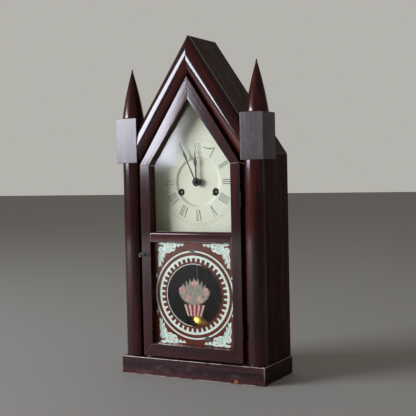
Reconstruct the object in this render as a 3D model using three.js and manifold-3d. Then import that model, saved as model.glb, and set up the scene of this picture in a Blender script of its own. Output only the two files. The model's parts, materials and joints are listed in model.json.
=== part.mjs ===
// Gothic steeple shelf clock with an eight-piece glazed door, a spring-driven time-and-strike movement
// and a gong. Millimetres, +Z up. The model is laid out with x to the right, y back from the plinth's
// front and z up from the floor, and the whole group is then centred on the middle of the plinth.
import * as THREE from 'three';
import { mergeVertices } from 'three/addons/utils/BufferGeometryUtils.js';
import Module from 'manifold-3d';

const wasm = await Module();
wasm.setup();

// ---- driving dimensions -------------------------------------------------------------------------
const GAP = 0.3; // clearance kept between pieces that touch
const HEIGHT = 500; // floor to roof peak
const PLINTH = { half: 119, depth: 98, height: 26.4, rail: 14 };
const CASE = { half: 116.4, eave: 325.9, front: 16.8, back: 98, board: 7, roof: 8, backBoard: 6 };
const STILE = { inner: 74, top: 312, back: 34.2 };
const GABLE = { width: 31, stand: 2.5, crest: 4, frame: 42 };
const COLUMN = { x: 101.6, half: 14.6, stand: 2.3, crest: 2.6 };
const BLOCK = { inner: 86, outer: 121.9, front: 3, back: 44.5, bottom: 316.9, top: 383.8 };
const STEEPLE = { radius: 16.3, tip: 1.1, top: 458.6, swell: 0.36, rings: [0, 0.35, 0.7] };
const DOOR = { half: 82.8, bottom: 28.7, bend: 313.3, peak: 440.3, front: 6, back: 16.2 };
const OPENING = { half: 67.9, bottom: 46.5, bend: 312.5, peak: 408.2 };
const MID_RAIL = { bottom: 199.3, top: 214.8, round: 4 };
const REBATE = { depth: 13.5, lap: 4, pane: 2 };
const HINGE = { x: 84.9, y: 5, zs: [75, 262], height: 22, knuckle: 1.8, pin: 0.8, leaf: 0.8 };
const LATCH = { x: -77, z: 180, plate: 1.1, pinX: -84.9, pinZ: 177.2, pin: 1.1 };
const DIAL = { z: 286.8, front: 34.5, thick: 0.9, half: 84, bottom: 194, inset: 30 };
const HANDS = { hub: 26.8, thick: 0.8, minuteLength: 64, hourLength: 46, minuteAngle: 114, hourAngle: 92 };
const PLATES = { front: 48, back: 82, thick: 1.6, half: 55, top: 354, shoulder: 312, bottom: 236 };
const WINDING = { x: 29, z: 272, radius: 2.5, square: 1.75, hole: 4.6 };
const ARBOR = { centre: 2, nose: 1.3, stud: 1.2, vergeStud: 1, hourPipe: 2.8 };
const PENDULUM = { x: -9.5, y: 43, top: 346, bobZ: 68, bobRadius: 19, rod: 0.7 };
const ESCAPE = { z: 316, radius: 12.6, teeth: 48, tooth: 1.6, lean: 0.03, front: 45.3, thick: 1 };
const GONG = { x: 34, y: 76, z: 130, inner: 22, outer: 46, turns: 4.2, wire: 1.6, perTurn: 13 };
const HAMMER = { z: 247, y: 76, reach: 74.5 };

// Tooth counts and modules: the centre wheel turns once an hour, the great wheels once in six hours.
const GREAT = { teeth: 48, leaves: 8 };
const CENTRE = { teeth: 54, leaves: 6, module: 0.933 };
const THIRD = { teeth: 48, leaves: 6, module: 0.8 };
const PINWHEEL = { teeth: 48, leaves: 6, module: 0.82 };
const MOTION = { cannon: 8, minute: 24, pinion: 6, hour: 24, module: 0.94 };

// How the movement is layered: the front and back of each wheel and pinion, from the dial back.
const LAYER = {
  hourPipe: [28.4, 38.4], minutePinion: [36.4, 39.7], hourWheel: [37, 38.4], cannon: [39.4, 41.2],
  minuteWheel: [39.6, 40.8], thirdPinion: [50.6, 55.4], centreWheel: [52, 53.5], strikePinion: [54.8, 59.2],
  strikeGreat: [56, 58], escapePinion: [56.4, 61], thirdWheel: [58, 59.3], flyHub: [58.5, 71.5],
  fan: [59, 71], centrePinion: [62.5, 67.5], timeGreat: [64, 66], flyPinion: [72.6, 76.8],
  pinWheel: [74, 75.4], pins: [74.5, 78.5],
};

// ---- finishes -----------------------------------------------------------------------------------
const finish = (color, roughness, metalness = 0, more = {}) =>
  new THREE.MeshStandardMaterial({ color, roughness, metalness, ...more });
const ROSEWOOD = finish(0x3a1c1d, 0.3);
const SATIN_ROSEWOOD = finish(0x55403f, 0.55);
const STEEPLE_WOOD = finish(0x4a1d16, 0.3);
const PINE = finish(0x7a5a3c, 0.8);
const BRASS = finish(0xb08a45, 0.35, 1);
const STEEL = finish(0x8d8f92, 0.35, 1);
const BLACK_IRON = finish(0x1b1b1c, 0.5, 0.6);
const DIAL_PAINT = finish(0xd7dcc6, 0.5);
const GLASS = finish(0xdfe6e2, 0.05, 0, { transparent: true, opacity: 0.25 });
const PAINTED_GLASS = finish(0x5c2b1c, 0.12);

// ---- solids: making, cutting and joining --------------------------------------------------------
const ROUND = 20; // sides of a small turned piece

function solidOf(geometry) {
  const bare = geometry.clone();
  bare.deleteAttribute('normal');
  bare.deleteAttribute('uv');
  const merged = mergeVertices(bare, 1e-4);
  return new wasm.Manifold(new wasm.Mesh({
    numProp: 3,
    vertProperties: new Float32Array(merged.attributes.position.array),
    triVerts: new Uint32Array(merged.index.array),
  }));
}

function geometryOf(solid) {
  const mesh = solid.getMesh();
  const geometry = new THREE.BufferGeometry();
  geometry.setAttribute('position', new THREE.BufferAttribute(new Float32Array(mesh.vertProperties), 3));
  geometry.setIndex(new THREE.BufferAttribute(new Uint32Array(mesh.triVerts), 1));
  geometry.computeVertexNormals();
  return geometry;
}

const join = (first, ...rest) => rest.reduce((whole, piece) => whole.add(piece), first);
const cut = (whole, ...tools) => tools.reduce((left, tool) => left.subtract(tool), whole);

// An outline as a THREE.Shape, from [a, b] pairs, with holes of the same form.
function shapeOf(outline, holes = []) {
  const shape = new THREE.Shape(outline.map(([a, b]) => new THREE.Vector2(a, b)));
  for (const hole of holes) {
    shape.holes.push(new THREE.Path(hole.map(([a, b]) => new THREE.Vector2(a, b))));
  }
  return shape;
}

// A slab whose outline is drawn in the front view (x, z), from depth y0 back to depth y1.
function slab(outline, y0, y1, holes = []) {
  const flat = new THREE.ExtrudeGeometry(shapeOf(outline, holes), { depth: y1 - y0, bevelEnabled: false });
  flat.rotateX(Math.PI / 2);
  flat.translate(0, y1, 0);
  return solidOf(flat);
}

// A bar whose section is drawn in the plan view (x, y), from height z0 up to height z1.
function post(section, z0, z1) {
  const bar = new THREE.ExtrudeGeometry(shapeOf(section), { depth: z1 - z0, bevelEnabled: false });
  bar.translate(0, 0, z0);
  return solidOf(bar);
}

// A box between two corners.
function block([x0, y0, z0], [x1, y1, z1]) {
  const box = new THREE.BoxGeometry(x1 - x0, y1 - y0, z1 - z0);
  box.translate((x0 + x1) / 2, (y0 + y1) / 2, (z0 + z1) / 2);
  return solidOf(box);
}

// A piece turned about the y axis (an arbor, boss or pin), from [radius, y] pairs in order of y.
function turned(profile, x = 0, z = 0, sides = ROUND) {
  const closed = [[0, profile[0][1]], ...profile, [0, profile[profile.length - 1][1]]];
  const lathe = new THREE.LatheGeometry(closed.map(([r, y]) => new THREE.Vector2(r, y)), sides);
  lathe.translate(x, 0, z);
  return solidOf(lathe);
}

const rod = (radius, y0, y1, x = 0, z = 0, sides = 10) => turned([[radius, y0], [radius, y1]], x, z, sides);

// A piece turned about a vertical axis, from [radius, z] pairs in order of z.
function spun(profile, x, y, sides = 24) {
  const points = profile.map(([r, z]) => new THREE.Vector2(r, z));
  const lathe = new THREE.LatheGeometry(points, sides);
  lathe.rotateX(Math.PI / 2);
  lathe.translate(x, y, 0);
  return solidOf(lathe);
}

// The right-hand piece of a pair, seen in a mirror at x = 0.
function mirrored(solid) {
  const geometry = geometryOf(solid);
  geometry.scale(-1, 1, 1);
  const index = geometry.index.array;
  for (let i = 0; i < index.length; i += 3) {
    [index[i], index[i + 1]] = [index[i + 1], index[i]];
  }
  return solidOf(geometry);
}

const polar = (radius, angle) => [radius * Math.cos(angle), radius * Math.sin(angle)];
const evenAngles = (count) => Array.from({ length: count }, (_, i) => (2 * Math.PI * i) / count);

function circle(radius, sides, x = 0, z = 0) {
  return evenAngles(sides).map((angle) => polar(radius, angle)).map(([a, b]) => [x + a, z + b]);
}

const rectangle = (x0, z0, x1, z1) => [[x0, z0], [x1, z0], [x1, z1], [x0, z1]];

// Points of an ellipse's arc, from one angle to another in degrees.
function arc(cx, cy, rx, ry, from, to, steps) {
  return Array.from({ length: steps + 1 }, (_, i) => {
    const angle = THREE.MathUtils.degToRad(from + ((to - from) * i) / steps);
    return [cx + rx * Math.cos(angle), cy + ry * Math.sin(angle)];
  });
}

// ---- the assembly -------------------------------------------------------------------------------
const clock = new THREE.Group();
clock.position.y = -PLINTH.depth / 2;
const group = (parent) => {
  const made = new THREE.Group();
  parent.add(made);
  return made;
};
const caseGroup = group(clock);
const doorGroup = group(clock);
const movementGroup = group(clock);

function add(name, solid, material, parent, x = 0, z = 0) {
  const mesh = new THREE.Mesh(geometryOf(solid), material);
  mesh.name = name;
  mesh.position.set(x, 0, z);
  parent.add(mesh);
  return mesh;
}

function addPair(name, rightSolid, material, parent) {
  add(`right_${name}`, rightSolid, material, parent);
  add(`left_${name}`, mirrored(rightSolid), material, parent);
}

// ---- the case -----------------------------------------------------------------------------------
const SLOPE = (HEIGHT - CASE.eave) / CASE.half;
const STEEP = Math.hypot(1, SLOPE); // vertical drop for each millimetre measured square to the roof
const roofZ = (x, inset = 0) => HEIGHT - SLOPE * x - inset * STEEP;
const roofX = (z, inset = 0) => (HEIGHT - inset * STEEP - z) / SLOPE;
const sideInner = CASE.half - CASE.board;
const floorZ = PLINTH.height + GAP;

// The case's outline in the front view, moved in by inset from the roof, with straight sides at half.
const caseOutline = (half, bottom, inset) => [
  [-half, bottom], [half, bottom], [half, roofZ(half, inset)],
  [0, roofZ(0, inset)], [-half, roofZ(half, inset)],
];

function buildPlinth() {
  const { half, depth, height, rail } = PLINTH;
  const front = [[-half + GAP, 0], [half - GAP, 0], [half - rail - GAP, rail], [-half + rail + GAP, rail]];
  add('plinth_front', post(front, 0, height), ROSEWOOD, caseGroup);
  const side = [[half, 0], [half, depth], [half - rail, depth], [half - rail, rail]];
  addPair('plinth_rail', post(side, 0, height), ROSEWOOD, caseGroup);
  const inner = half - rail - GAP;
  const board = block([-inner, rail + GAP, height - 10], [inner, depth, height]);
  add('bottom_board', board, PINE, caseGroup);
}

function buildShell() {
  const { half, eave, front, back, roof } = CASE;
  const innerEave = roofZ(sideInner, roof);
  const side = [[sideInner, floorZ], [half, floorZ], [half, eave - GAP], [sideInner, innerEave - GAP]];
  addPair('side_board', slab(side, front, back), ROSEWOOD, caseGroup);
  const seam = GAP / 2;
  const roofBoard = [[half, eave], [seam, roofZ(seam)], [seam, roofZ(seam, roof)], [sideInner, innerEave]];
  addPair('roof_board', slab(roofBoard, front, back), ROSEWOOD, caseGroup);
  const outline = caseOutline(sideInner - GAP, floorZ, roof + GAP);
  add('back_board', slab(outline, back - CASE.backBoard, back), PINE, caseGroup);
}

function buildFront() {
  const { inner, top, back } = STILE;
  const stile = slab(rectangle(inner, floorZ, sideInner - GAP, top), CASE.front, back);
  addPair('front_stile', stile, ROSEWOOD, caseGroup);

  // A half-round column on a short stand, glued to the stile's face.
  const columnBack = CASE.front - GAP;
  const springing = columnBack - COLUMN.stand;
  const section = [
    [COLUMN.x + COLUMN.half, columnBack], [COLUMN.x - COLUMN.half, columnBack],
    ...arc(COLUMN.x, springing, COLUMN.half, springing - COLUMN.crest, 180, 360, 14),
  ];
  addPair('column', post(section, floorZ, BLOCK.bottom - GAP), ROSEWOOD, caseGroup);

  // The capital block straddles the case's shoulder, so its back is notched over the case.
  const shoulder = slab(caseOutline(CASE.half + GAP, 200, -GAP), columnBack, CASE.back);
  const whole = block([BLOCK.inner, BLOCK.front, BLOCK.bottom], [BLOCK.outer, BLOCK.back, BLOCK.top]);
  addPair('capital_block', cut(whole, shoulder), SATIN_ROSEWOOD, caseGroup);
}

// A steeple rises from an upright rim in a faintly swelling taper to a blunt tip.
function buildSteeples() {
  const { radius, tip, top, swell, rings } = STEEPLE;
  const foot = BLOCK.top + GAP;
  const rim = foot + 1;
  const taper = rings.map((rise) => {
    const left = 1 - rise;
    return [radius * left * (1 + swell * rise), rim + (top - rim) * rise];
  });
  const profile = [[0, foot], [radius, foot], ...taper, [tip, top - tip], [0, top]];
  const blockX = (BLOCK.inner + BLOCK.outer) / 2;
  const blockY = (BLOCK.front + BLOCK.back) / 2;
  addPair('steeple', spun(profile, blockX, blockY, ROUND), STEEPLE_WOOD, caseGroup);
}

// One gable moulding: a half-round face on a rebated rail, drawn square to the roof slope.
function buildGable() {
  const { width, stand, crest, frame } = GABLE;
  const faceBack = CASE.front - GAP;
  const springing = faceBack - stand;
  const underRoof = CASE.roof + GAP;
  const section = [
    [0, faceBack], ...arc(width / 2, springing, width / 2, springing - crest, 180, 360, 16),
    [width, CASE.front], [frame, CASE.front], [frame, STILE.back],
    [underRoof, STILE.back], [underRoof, faceBack],
  ];
  const before = 60; // run past the peak, cut off at the mitre
  const length = before + Math.hypot(CASE.half, HEIGHT - CASE.eave) + 40;
  const bar = new THREE.ExtrudeGeometry(shapeOf(section), { depth: length, bevelEnabled: false });
  bar.translate(0, 0, -before);
  const inward = new THREE.Vector3(-SLOPE, 0, -1).normalize();
  const depth = new THREE.Vector3(0, 1, 0);
  const down = new THREE.Vector3().crossVectors(inward, depth);
  bar.applyMatrix4(new THREE.Matrix4().makeBasis(inward, depth, down).setPosition(0, 0, HEIGHT));
  const mitre = GAP / 2;
  const faceZone = block([mitre, 0, 250], [BLOCK.inner - GAP, faceBack, HEIGHT]);
  const railZone = block([mitre, faceBack, STILE.top + GAP], [sideInner - GAP, 60, HEIGHT]);
  addPair('gable_moulding', solidOf(bar).intersect(join(faceZone, railZone)), ROSEWOOD, caseGroup);
}

// ---- the door -----------------------------------------------------------------------------------
// A five-sided outline: bottom corners, bends and peak, in order.
const gothic = (half, bottom, bend, peak) => [
  [-half, bottom], [half, bottom], [half, bend], [0, peak], [-half, bend],
];

function grown(outline, by) {
  const { half, bottom, bend, peak } = outline;
  const slope = (peak - bend) / half;
  const newPeak = peak + by * Math.hypot(1, slope);
  return { half: half + by, bottom: bottom - by, bend: newPeak - slope * (half + by), peak: newPeak };
}

const gothicOf = ({ half, bottom, bend, peak }) => gothic(half, bottom, bend, peak);

function buildDoor() {
  const outer = gothicOf(DOOR);
  const inner = gothicOf(OPENING);
  const { depth, lap, pane } = REBATE;
  const half = OPENING.half;
  const upper = { half, bottom: MID_RAIL.top, bend: OPENING.bend, peak: OPENING.peak };
  const upperRebate = slab(gothicOf(grown(upper, lap)), depth, 20);
  const lowerOutline = (by) => rectangle(-half - by, OPENING.bottom - by, half + by, MID_RAIL.bottom + by);
  const lowerRebate = slab(lowerOutline(lap), depth, 20);

  // Each mitred piece runs from one corner of the outline to the next, short of each mitre by a hair.
  const pieces = [
    ['door_bottom_rail', 0, 1], ['door_right_stile', 1, 2], ['door_right_slope', 2, 3],
    ['door_left_slope', 3, 4], ['door_left_stile', 4, 0],
  ];
  const hair = 0.2;
  for (const [name, from, to] of pieces) {
    const run = new THREE.Vector2(outer[to][0] - outer[from][0], outer[to][1] - outer[from][1]).normalize();
    const shift = ([x, z], by) => [x + run.x * by, z + run.y * by];
    const outline = [
      shift(outer[from], hair), shift(outer[to], -hair), shift(inner[to], -hair), shift(inner[from], hair),
    ];
    add(name, cut(slab(outline, DOOR.front, DOOR.back), upperRebate, lowerRebate), ROSEWOOD, doorGroup);
  }

  // The mid rail's front edges are rounded over.
  const railHalf = half - GAP;
  const { bottom, top, round } = MID_RAIL;
  const front = DOOR.front;
  const profile = [
    [DOOR.back, bottom], [DOOR.back, top], ...arc(front + round, top - round, round, round, 90, 180, 4),
    ...arc(front + 1, bottom + 1, 1, 1, 180, 270, 2),
  ];
  const rail = new THREE.ExtrudeGeometry(shapeOf(profile), { depth: 2 * railHalf, bevelEnabled: false });
  const along = new THREE.Vector3(1, 0, 0);
  const inDepth = new THREE.Vector3(0, 1, 0);
  const upward = new THREE.Vector3(0, 0, 1);
  rail.applyMatrix4(new THREE.Matrix4().makeBasis(inDepth, upward, along));
  rail.translate(-railHalf, 0, 0);
  add('door_mid_rail', cut(solidOf(rail), upperRebate, lowerRebate), ROSEWOOD, doorGroup);

  const paneFront = depth + GAP;
  const upperPane = slab(gothicOf(grown(upper, lap - GAP)), paneFront, paneFront + pane);
  add('upper_glass', upperPane, GLASS, doorGroup);
  const lowerPane = slab(lowerOutline(lap - GAP), paneFront, paneFront + pane);
  add('lower_glass', lowerPane, PAINTED_GLASS, doorGroup);
}

// Two butt hinges whose knuckles stand in the gap between door and column.
function buildHinges() {
  const { x, y, zs, height, knuckle, pin, leaf } = HINGE;
  const clear = y + knuckle + 0.4; // a leaf stays behind the other leaf's knuckles from here back
  const bore = pin + GAP;
  const doorFace = DOOR.half + GAP;
  const columnFace = COLUMN.x - COLUMN.half - GAP;
  ['lower', 'upper'].forEach((name, i) => {
    const z0 = zs[i] - height / 2;
    const z1 = zs[i] + height / 2;
    const third = height / 3;
    const ring = (from, to, radius) => spun([[0, from], [radius, from], [radius, to], [0, to]], x, y, 12);
    const doorLeaf = join(
      block([doorFace, clear, z0], [doorFace + leaf, DOOR.back - 1, z1]),
      block([doorFace, y, z0 + third + GAP], [doorFace + leaf, clear, z1 - third - GAP]),
      ring(z0 + third + GAP, z1 - third - GAP, knuckle),
    );
    const hole = ring(z0, z1, bore);
    add(`${name}_hinge_door_leaf`, cut(doorLeaf, hole), BRASS, doorGroup);
    const tab = (from, to) => block([columnFace - leaf, y, from], [columnFace, clear, to]);
    const caseLeaf = join(
      block([columnFace - leaf, clear, z0], [columnFace, CASE.front - GAP, z1]),
      block([DOOR.half + 1.6, CASE.front - GAP - leaf, z0], [columnFace, CASE.front - GAP, z1]),
      tab(z0, z0 + third),
      tab(z1 - third, z1),
      ring(z0, z0 + third, knuckle),
      ring(z1 - third, z1, knuckle),
      ring(z0, z1, pin),
    );
    add(`${name}_hinge_case_leaf`, caseLeaf, BRASS, caseGroup);
  });
}

// A flat turn-hook on the door, which drops over a pin in the case.
function buildLatch() {
  const { x, z, plate, pinX, pinZ, pin } = LATCH;
  const back = DOOR.front - GAP;
  const front = back - plate;
  const body = [
    [x + 7, z - 2], [x + 7, z + 2], [x, z + 3.2], [pinX - 1, z + 3], [pinX - 3.6, z], [pinX - 3.2, z - 5],
    [pinX - 1.9, z - 5], [pinX - 1.7, z - 1.4], [pinX + 1.7, z - 1.4], [pinX + 3, z - 3.2], [x, z - 3.2],
  ];
  const screw = turned([[1.2, front - 1.2], [2.3, front - 0.5], [2.3, front + 0.1]], x, z, 12);
  add('door_latch', join(slab(body, front, back), screw), BLACK_IRON, doorGroup);
  const pinProfile = [[pin * 0.6, front - 1.3], [pin, front - 0.8], [pin, CASE.front - GAP]];
  add('latch_pin', turned(pinProfile, pinX, pinZ, 12), BRASS, caseGroup);
}

// ---- wheels, pinions and arbors -----------------------------------------------------------------
// Wheel teeth and pinion leaves, as shares of the module (heights) and of the pitch (half widths).
const WHEEL_TOOTH = { tip: 0.95, root: 1.1, tipHalf: 0, rootHalf: 0.3 };
const LEAF = { tip: 0.6, root: 1.2, tipHalf: 0.12, rootHalf: 0.2 };
const pitchRadius = (teeth, module) => (teeth * module) / 2;

// A toothed outline about the origin, with a tooth centred on the angle phase (radians, front view).
function toothed(teeth, module, form, phase = 0) {
  const radius = pitchRadius(teeth, module);
  const pitch = (2 * Math.PI) / teeth;
  const root = radius - form.root * module;
  const tip = radius + form.tip * module;
  const top = form.tipHalf > 0 ? [[tip, -form.tipHalf], [tip, form.tipHalf]] : [[tip, 0]];
  const flank = [[root, -form.rootHalf], ...top, [root, form.rootHalf]];
  return Array.from({ length: teeth }, (_, i) => phase + i * pitch).flatMap((angle) =>
    flank.map(([r, share]) => {
      const a = angle + share * pitch;
      return [r * Math.cos(a), r * Math.sin(a)];
    }));
}

// Windows between the spokes of a wheel: a ring sector each, as outlines.
function crossings(inner, outer, count, halfSpoke) {
  return Array.from({ length: count }, (_, i) => {
    const start = (2 * Math.PI * i) / count;
    const end = (2 * Math.PI * (i + 1)) / count;
    const at = (r, a) => [r * Math.cos(a), r * Math.sin(a)];
    const edge = (r, side) => Math.asin(halfSpoke / r) * side;
    const steps = 3;
    const rim = Array.from({ length: steps + 1 }, (_unused, k) => {
      const a0 = start + edge(outer, 1);
      const a1 = end - edge(outer, 1);
      return at(outer, a0 + ((a1 - a0) * k) / steps);
    });
    return [...rim, at(inner, end - edge(inner, 1)), at(inner, start + edge(inner, 1))];
  });
}

function wheel(teeth, module, y0, y1, phase = 0) {
  const root = pitchRadius(teeth, module) - WHEEL_TOOTH.root * module;
  const windows = crossings(root * 0.3, root - 2.2, 4, 1.3);
  return slab(toothed(teeth, module, WHEEL_TOOTH, phase), y0, y1, windows);
}

const pinion = (leaves, module, y0, y1, phase = 0) => slab(toothed(leaves, module, LEAF, phase), y0, y1);

// The phase that puts wheel b in mesh with wheel a, for the heading (radians) from a to b.
const meshPhase = (phaseA, teethA, teethB, heading) =>
  heading + Math.PI - ((phaseA - heading) * teethA) / teethB + Math.PI / teethB;

const direction = (a, b) => Math.atan2(b.z - a.z, b.x - a.x);
const distance = (a, b) => Math.hypot(b.x - a.x, b.z - a.z);

// The point at distance ra from a and rb from b, on the side that is positive to the right of a to b.
function meetingPoint(a, ra, b, rb) {
  const d = distance(a, b);
  const along = (ra * ra - rb * rb + d * d) / (2 * d);
  const off = Math.sqrt(ra * ra - along * along);
  const ux = (b.x - a.x) / d;
  const uz = (b.z - a.z) / d;
  return { x: a.x + ux * along + uz * off, z: a.z + uz * along - ux * off };
}

// Where each arbor stands in the front view.
const centreAt = { x: 0, z: DIAL.z };
const timeAt = { x: WINDING.x, z: WINDING.z };
const strikeAt = { x: -WINDING.x, z: WINDING.z };
const escapeAt = { x: PENDULUM.x, z: ESCAPE.z };
const greatModule = (2 * distance(centreAt, timeAt)) / (GREAT.teeth + GREAT.leaves);
const thirdAt = meetingPoint(
  centreAt, pitchRadius(CENTRE.teeth + THIRD.leaves, CENTRE.module),
  escapeAt, pitchRadius(THIRD.teeth + THIRD.leaves, THIRD.module),
);
const greatReach = pitchRadius(GREAT.teeth + GREAT.leaves, greatModule);
const pinAngle = THREE.MathUtils.degToRad(110);
const pinAt = {
  x: strikeAt.x + greatReach * Math.cos(pinAngle),
  z: strikeAt.z + greatReach * Math.sin(pinAngle),
};
const flyReach = pitchRadius(PINWHEEL.teeth + PINWHEEL.leaves, PINWHEEL.module);
const flyAngle = THREE.MathUtils.degToRad(62);
const flyAt = { x: pinAt.x + flyReach * Math.cos(flyAngle), z: pinAt.z + flyReach * Math.sin(flyAngle) };
const vergeAt = { x: PENDULUM.x, z: ESCAPE.z + 19.5 };
const minuteReach = pitchRadius(MOTION.cannon + MOTION.minute, MOTION.module);
const motionAngle = THREE.MathUtils.degToRad(-62);
const minuteAt = { x: minuteReach * Math.cos(motionAngle), z: DIAL.z + minuteReach * Math.sin(motionAngle) };

// Arbors turn in holes in both plates: the pivots are this thick and reach this far.
const PIVOT = { radius: 0.8, hole: 1.1 };
const insideFront = PLATES.front + PLATES.thick + GAP;
const insideBack = PLATES.back - GAP;
const arborProfile = (radius) => [
  [PIVOT.radius, PLATES.front], [PIVOT.radius, insideFront], [radius, insideFront],
  [radius, insideBack], [PIVOT.radius, insideBack], [PIVOT.radius, PLATES.back + PLATES.thick],
];

function buildPlates() {
  const { front, back, thick, half, top, shoulder, bottom } = PLATES;
  const outline = [
    [-half, bottom], [half, bottom], [half, shoulder - 12], [40, top], [-40, top], [-half, shoulder],
  ];
  const pillars = [[-50.5, 241], [50.5, 241], [-35, 349], [35, 349]];
  const through = (radius, at) => circle(radius, 8, at.x, at.z);
  const shared = [thirdAt, escapeAt, pinAt, flyAt].map((at) => through(PIVOT.hole, at));
  const hammerHole = through(PIVOT.hole, { x: 0, z: HAMMER.z });
  const arborHoles = [timeAt, strikeAt].map((at) => through(WINDING.radius + GAP, at));
  const holes = [...shared, ...arborHoles, through(ARBOR.centre + GAP, centreAt), hammerHole];
  const riveted = front + 0.2;
  const minuteStud = rod(ARBOR.stud, front - 9.6, riveted, minuteAt.x, minuteAt.z);
  const vergeStud = rod(ARBOR.vergeStud, front - 3.7, riveted, vergeAt.x, vergeAt.z);
  const frontPlate = slab(outline, front, front + thick, holes);
  add('movement_front_plate', join(frontPlate, minuteStud, vergeStud), BRASS, movementGroup);

  const feet = CASE.back - CASE.backBoard - GAP;
  const posts = pillars.map(([x, z]) => turned(
    [[2.2, front + thick + GAP], [3, front + thick + 6], [3, back], [2.2, feet - 4], [4, feet]],
    x, z, 8,
  ));
  add('movement_back_plate', join(slab(outline, back, back + thick, holes), ...posts), BRASS, movementGroup);
}

// A coiled ribbon between two radii, as an outline in the front view.
function spiralOutline(inner, outer, turns, thick, perTurn) {
  const steps = Math.round(turns * perTurn);
  const side = (offset) => Array.from({ length: steps + 1 }, (_, i) => {
    const r = inner + ((outer - inner) * i) / steps + offset;
    const a = (2 * Math.PI * i) / perTurn;
    return [r * Math.cos(a), r * Math.sin(a)];
  });
  return [...side(thick), ...side(0).reverse()];
}

// One side's power: a winding arbor with its ratchet, a great wheel with its click, and an open mainspring.
function buildPower(name, at, [wheelFront, wheelBack], phase, extra = []) {
  const { radius, square } = WINDING;
  const ratchet = { teeth: 16, tip: 8.5, root: 7, thick: 1.4 };
  const saw = evenAngles(ratchet.teeth).flatMap((a) => [polar(ratchet.root, a), polar(ratchet.tip, a)]);
  const ratchetFront = wheelFront - 1.8;
  const shoulder = 40;
  const arbor = join(
    turned([[radius, shoulder], [radius, PLATES.back + PLATES.thick]], 0, 0, 14),
    slab(rectangle(-square, -square, square, square), DIAL.front + DIAL.thick + 0.5, shoulder + 0.1),
    slab(saw, ratchetFront, ratchetFront + ratchet.thick),
  );
  add(`${name}_winding_arbor`, arbor, STEEL, movementGroup, at.x, at.z);

  const click = [[10, 1.2], [14, -1.5], [17, -1.2], [17, 2.6], [12, 3.4], [9.2, 2.6]];
  const great = join(
    cut(wheel(GREAT.teeth, greatModule, wheelFront, wheelBack, phase), rod(radius + GAP, 0, CASE.back)),
    slab(click, ratchetFront, wheelFront + 0.5),
    ...extra,
  );
  add(`${name}_great_wheel`, great, BRASS, movementGroup, at.x, at.z);

  const ribbon = { outer: 23, turns: 5, thick: 0.9, perTurn: 12, width: 11.8 };
  const coils = spiralOutline(radius + GAP, ribbon.outer, ribbon.turns, ribbon.thick, ribbon.perTurn);
  const springFront = wheelBack + 1.2;
  const spring = slab(coils, springFront, springFront + ribbon.width);
  add(`${name}_mainspring`, spring, STEEL, movementGroup, at.x, at.z);
}

function buildTimeTrain() {
  // The centre wheel and its pinion are one pipe, driven by the great wheel and clutched to the arbor.
  const toTime = direction(centreAt, timeAt);
  const toThird = direction(centreAt, thirdAt);
  const greatPhase = meshPhase(0, GREAT.leaves, GREAT.teeth, toTime);
  const pipe = join(
    wheel(CENTRE.teeth, CENTRE.module, ...LAYER.centreWheel),
    rod(3.2, LAYER.centreWheel[0], LAYER.centrePinion[0] + 0.5, 0, 0, 12),
    pinion(GREAT.leaves, greatModule, ...LAYER.centrePinion),
  );
  const bored = cut(pipe, rod(ARBOR.centre + GAP, 0, CASE.back, 0, 0, 12));
  add('centre_wheel', bored, BRASS, movementGroup, centreAt.x, centreAt.z);
  buildPower('time', timeAt, LAYER.timeGreat, greatPhase);

  const thirdPinion = meshPhase(0, CENTRE.teeth, THIRD.leaves, toThird);
  const third = join(
    turned(arborProfile(1.3), 0, 0, 8),
    pinion(THIRD.leaves, CENTRE.module, ...LAYER.thirdPinion, thirdPinion),
    wheel(THIRD.teeth, THIRD.module, ...LAYER.thirdWheel),
  );
  add('third_wheel', third, BRASS, movementGroup, thirdAt.x, thirdAt.z);

  const escapePinion = meshPhase(0, THIRD.teeth, THIRD.leaves, direction(thirdAt, escapeAt));
  const { radius, teeth, tooth, lean, front, thick } = ESCAPE;
  const saw = evenAngles(teeth).flatMap((a) => [polar(radius - tooth, a - lean), polar(radius, a)]);
  const escapeProfile = arborProfile(1.2);
  escapeProfile[0][1] = front - 0.1; // the front pivot runs on through the plate to carry the wheel
  const escapeWheel = join(
    turned(escapeProfile, 0, 0, 8),
    pinion(THIRD.leaves, THIRD.module, ...LAYER.escapePinion, escapePinion),
    slab(saw, front, front + thick, crossings(3, radius - 3.4, 4, 0.9)),
  );
  add('escape_wheel', escapeWheel, BRASS, movementGroup, escapeAt.x, escapeAt.z);
}

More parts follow.
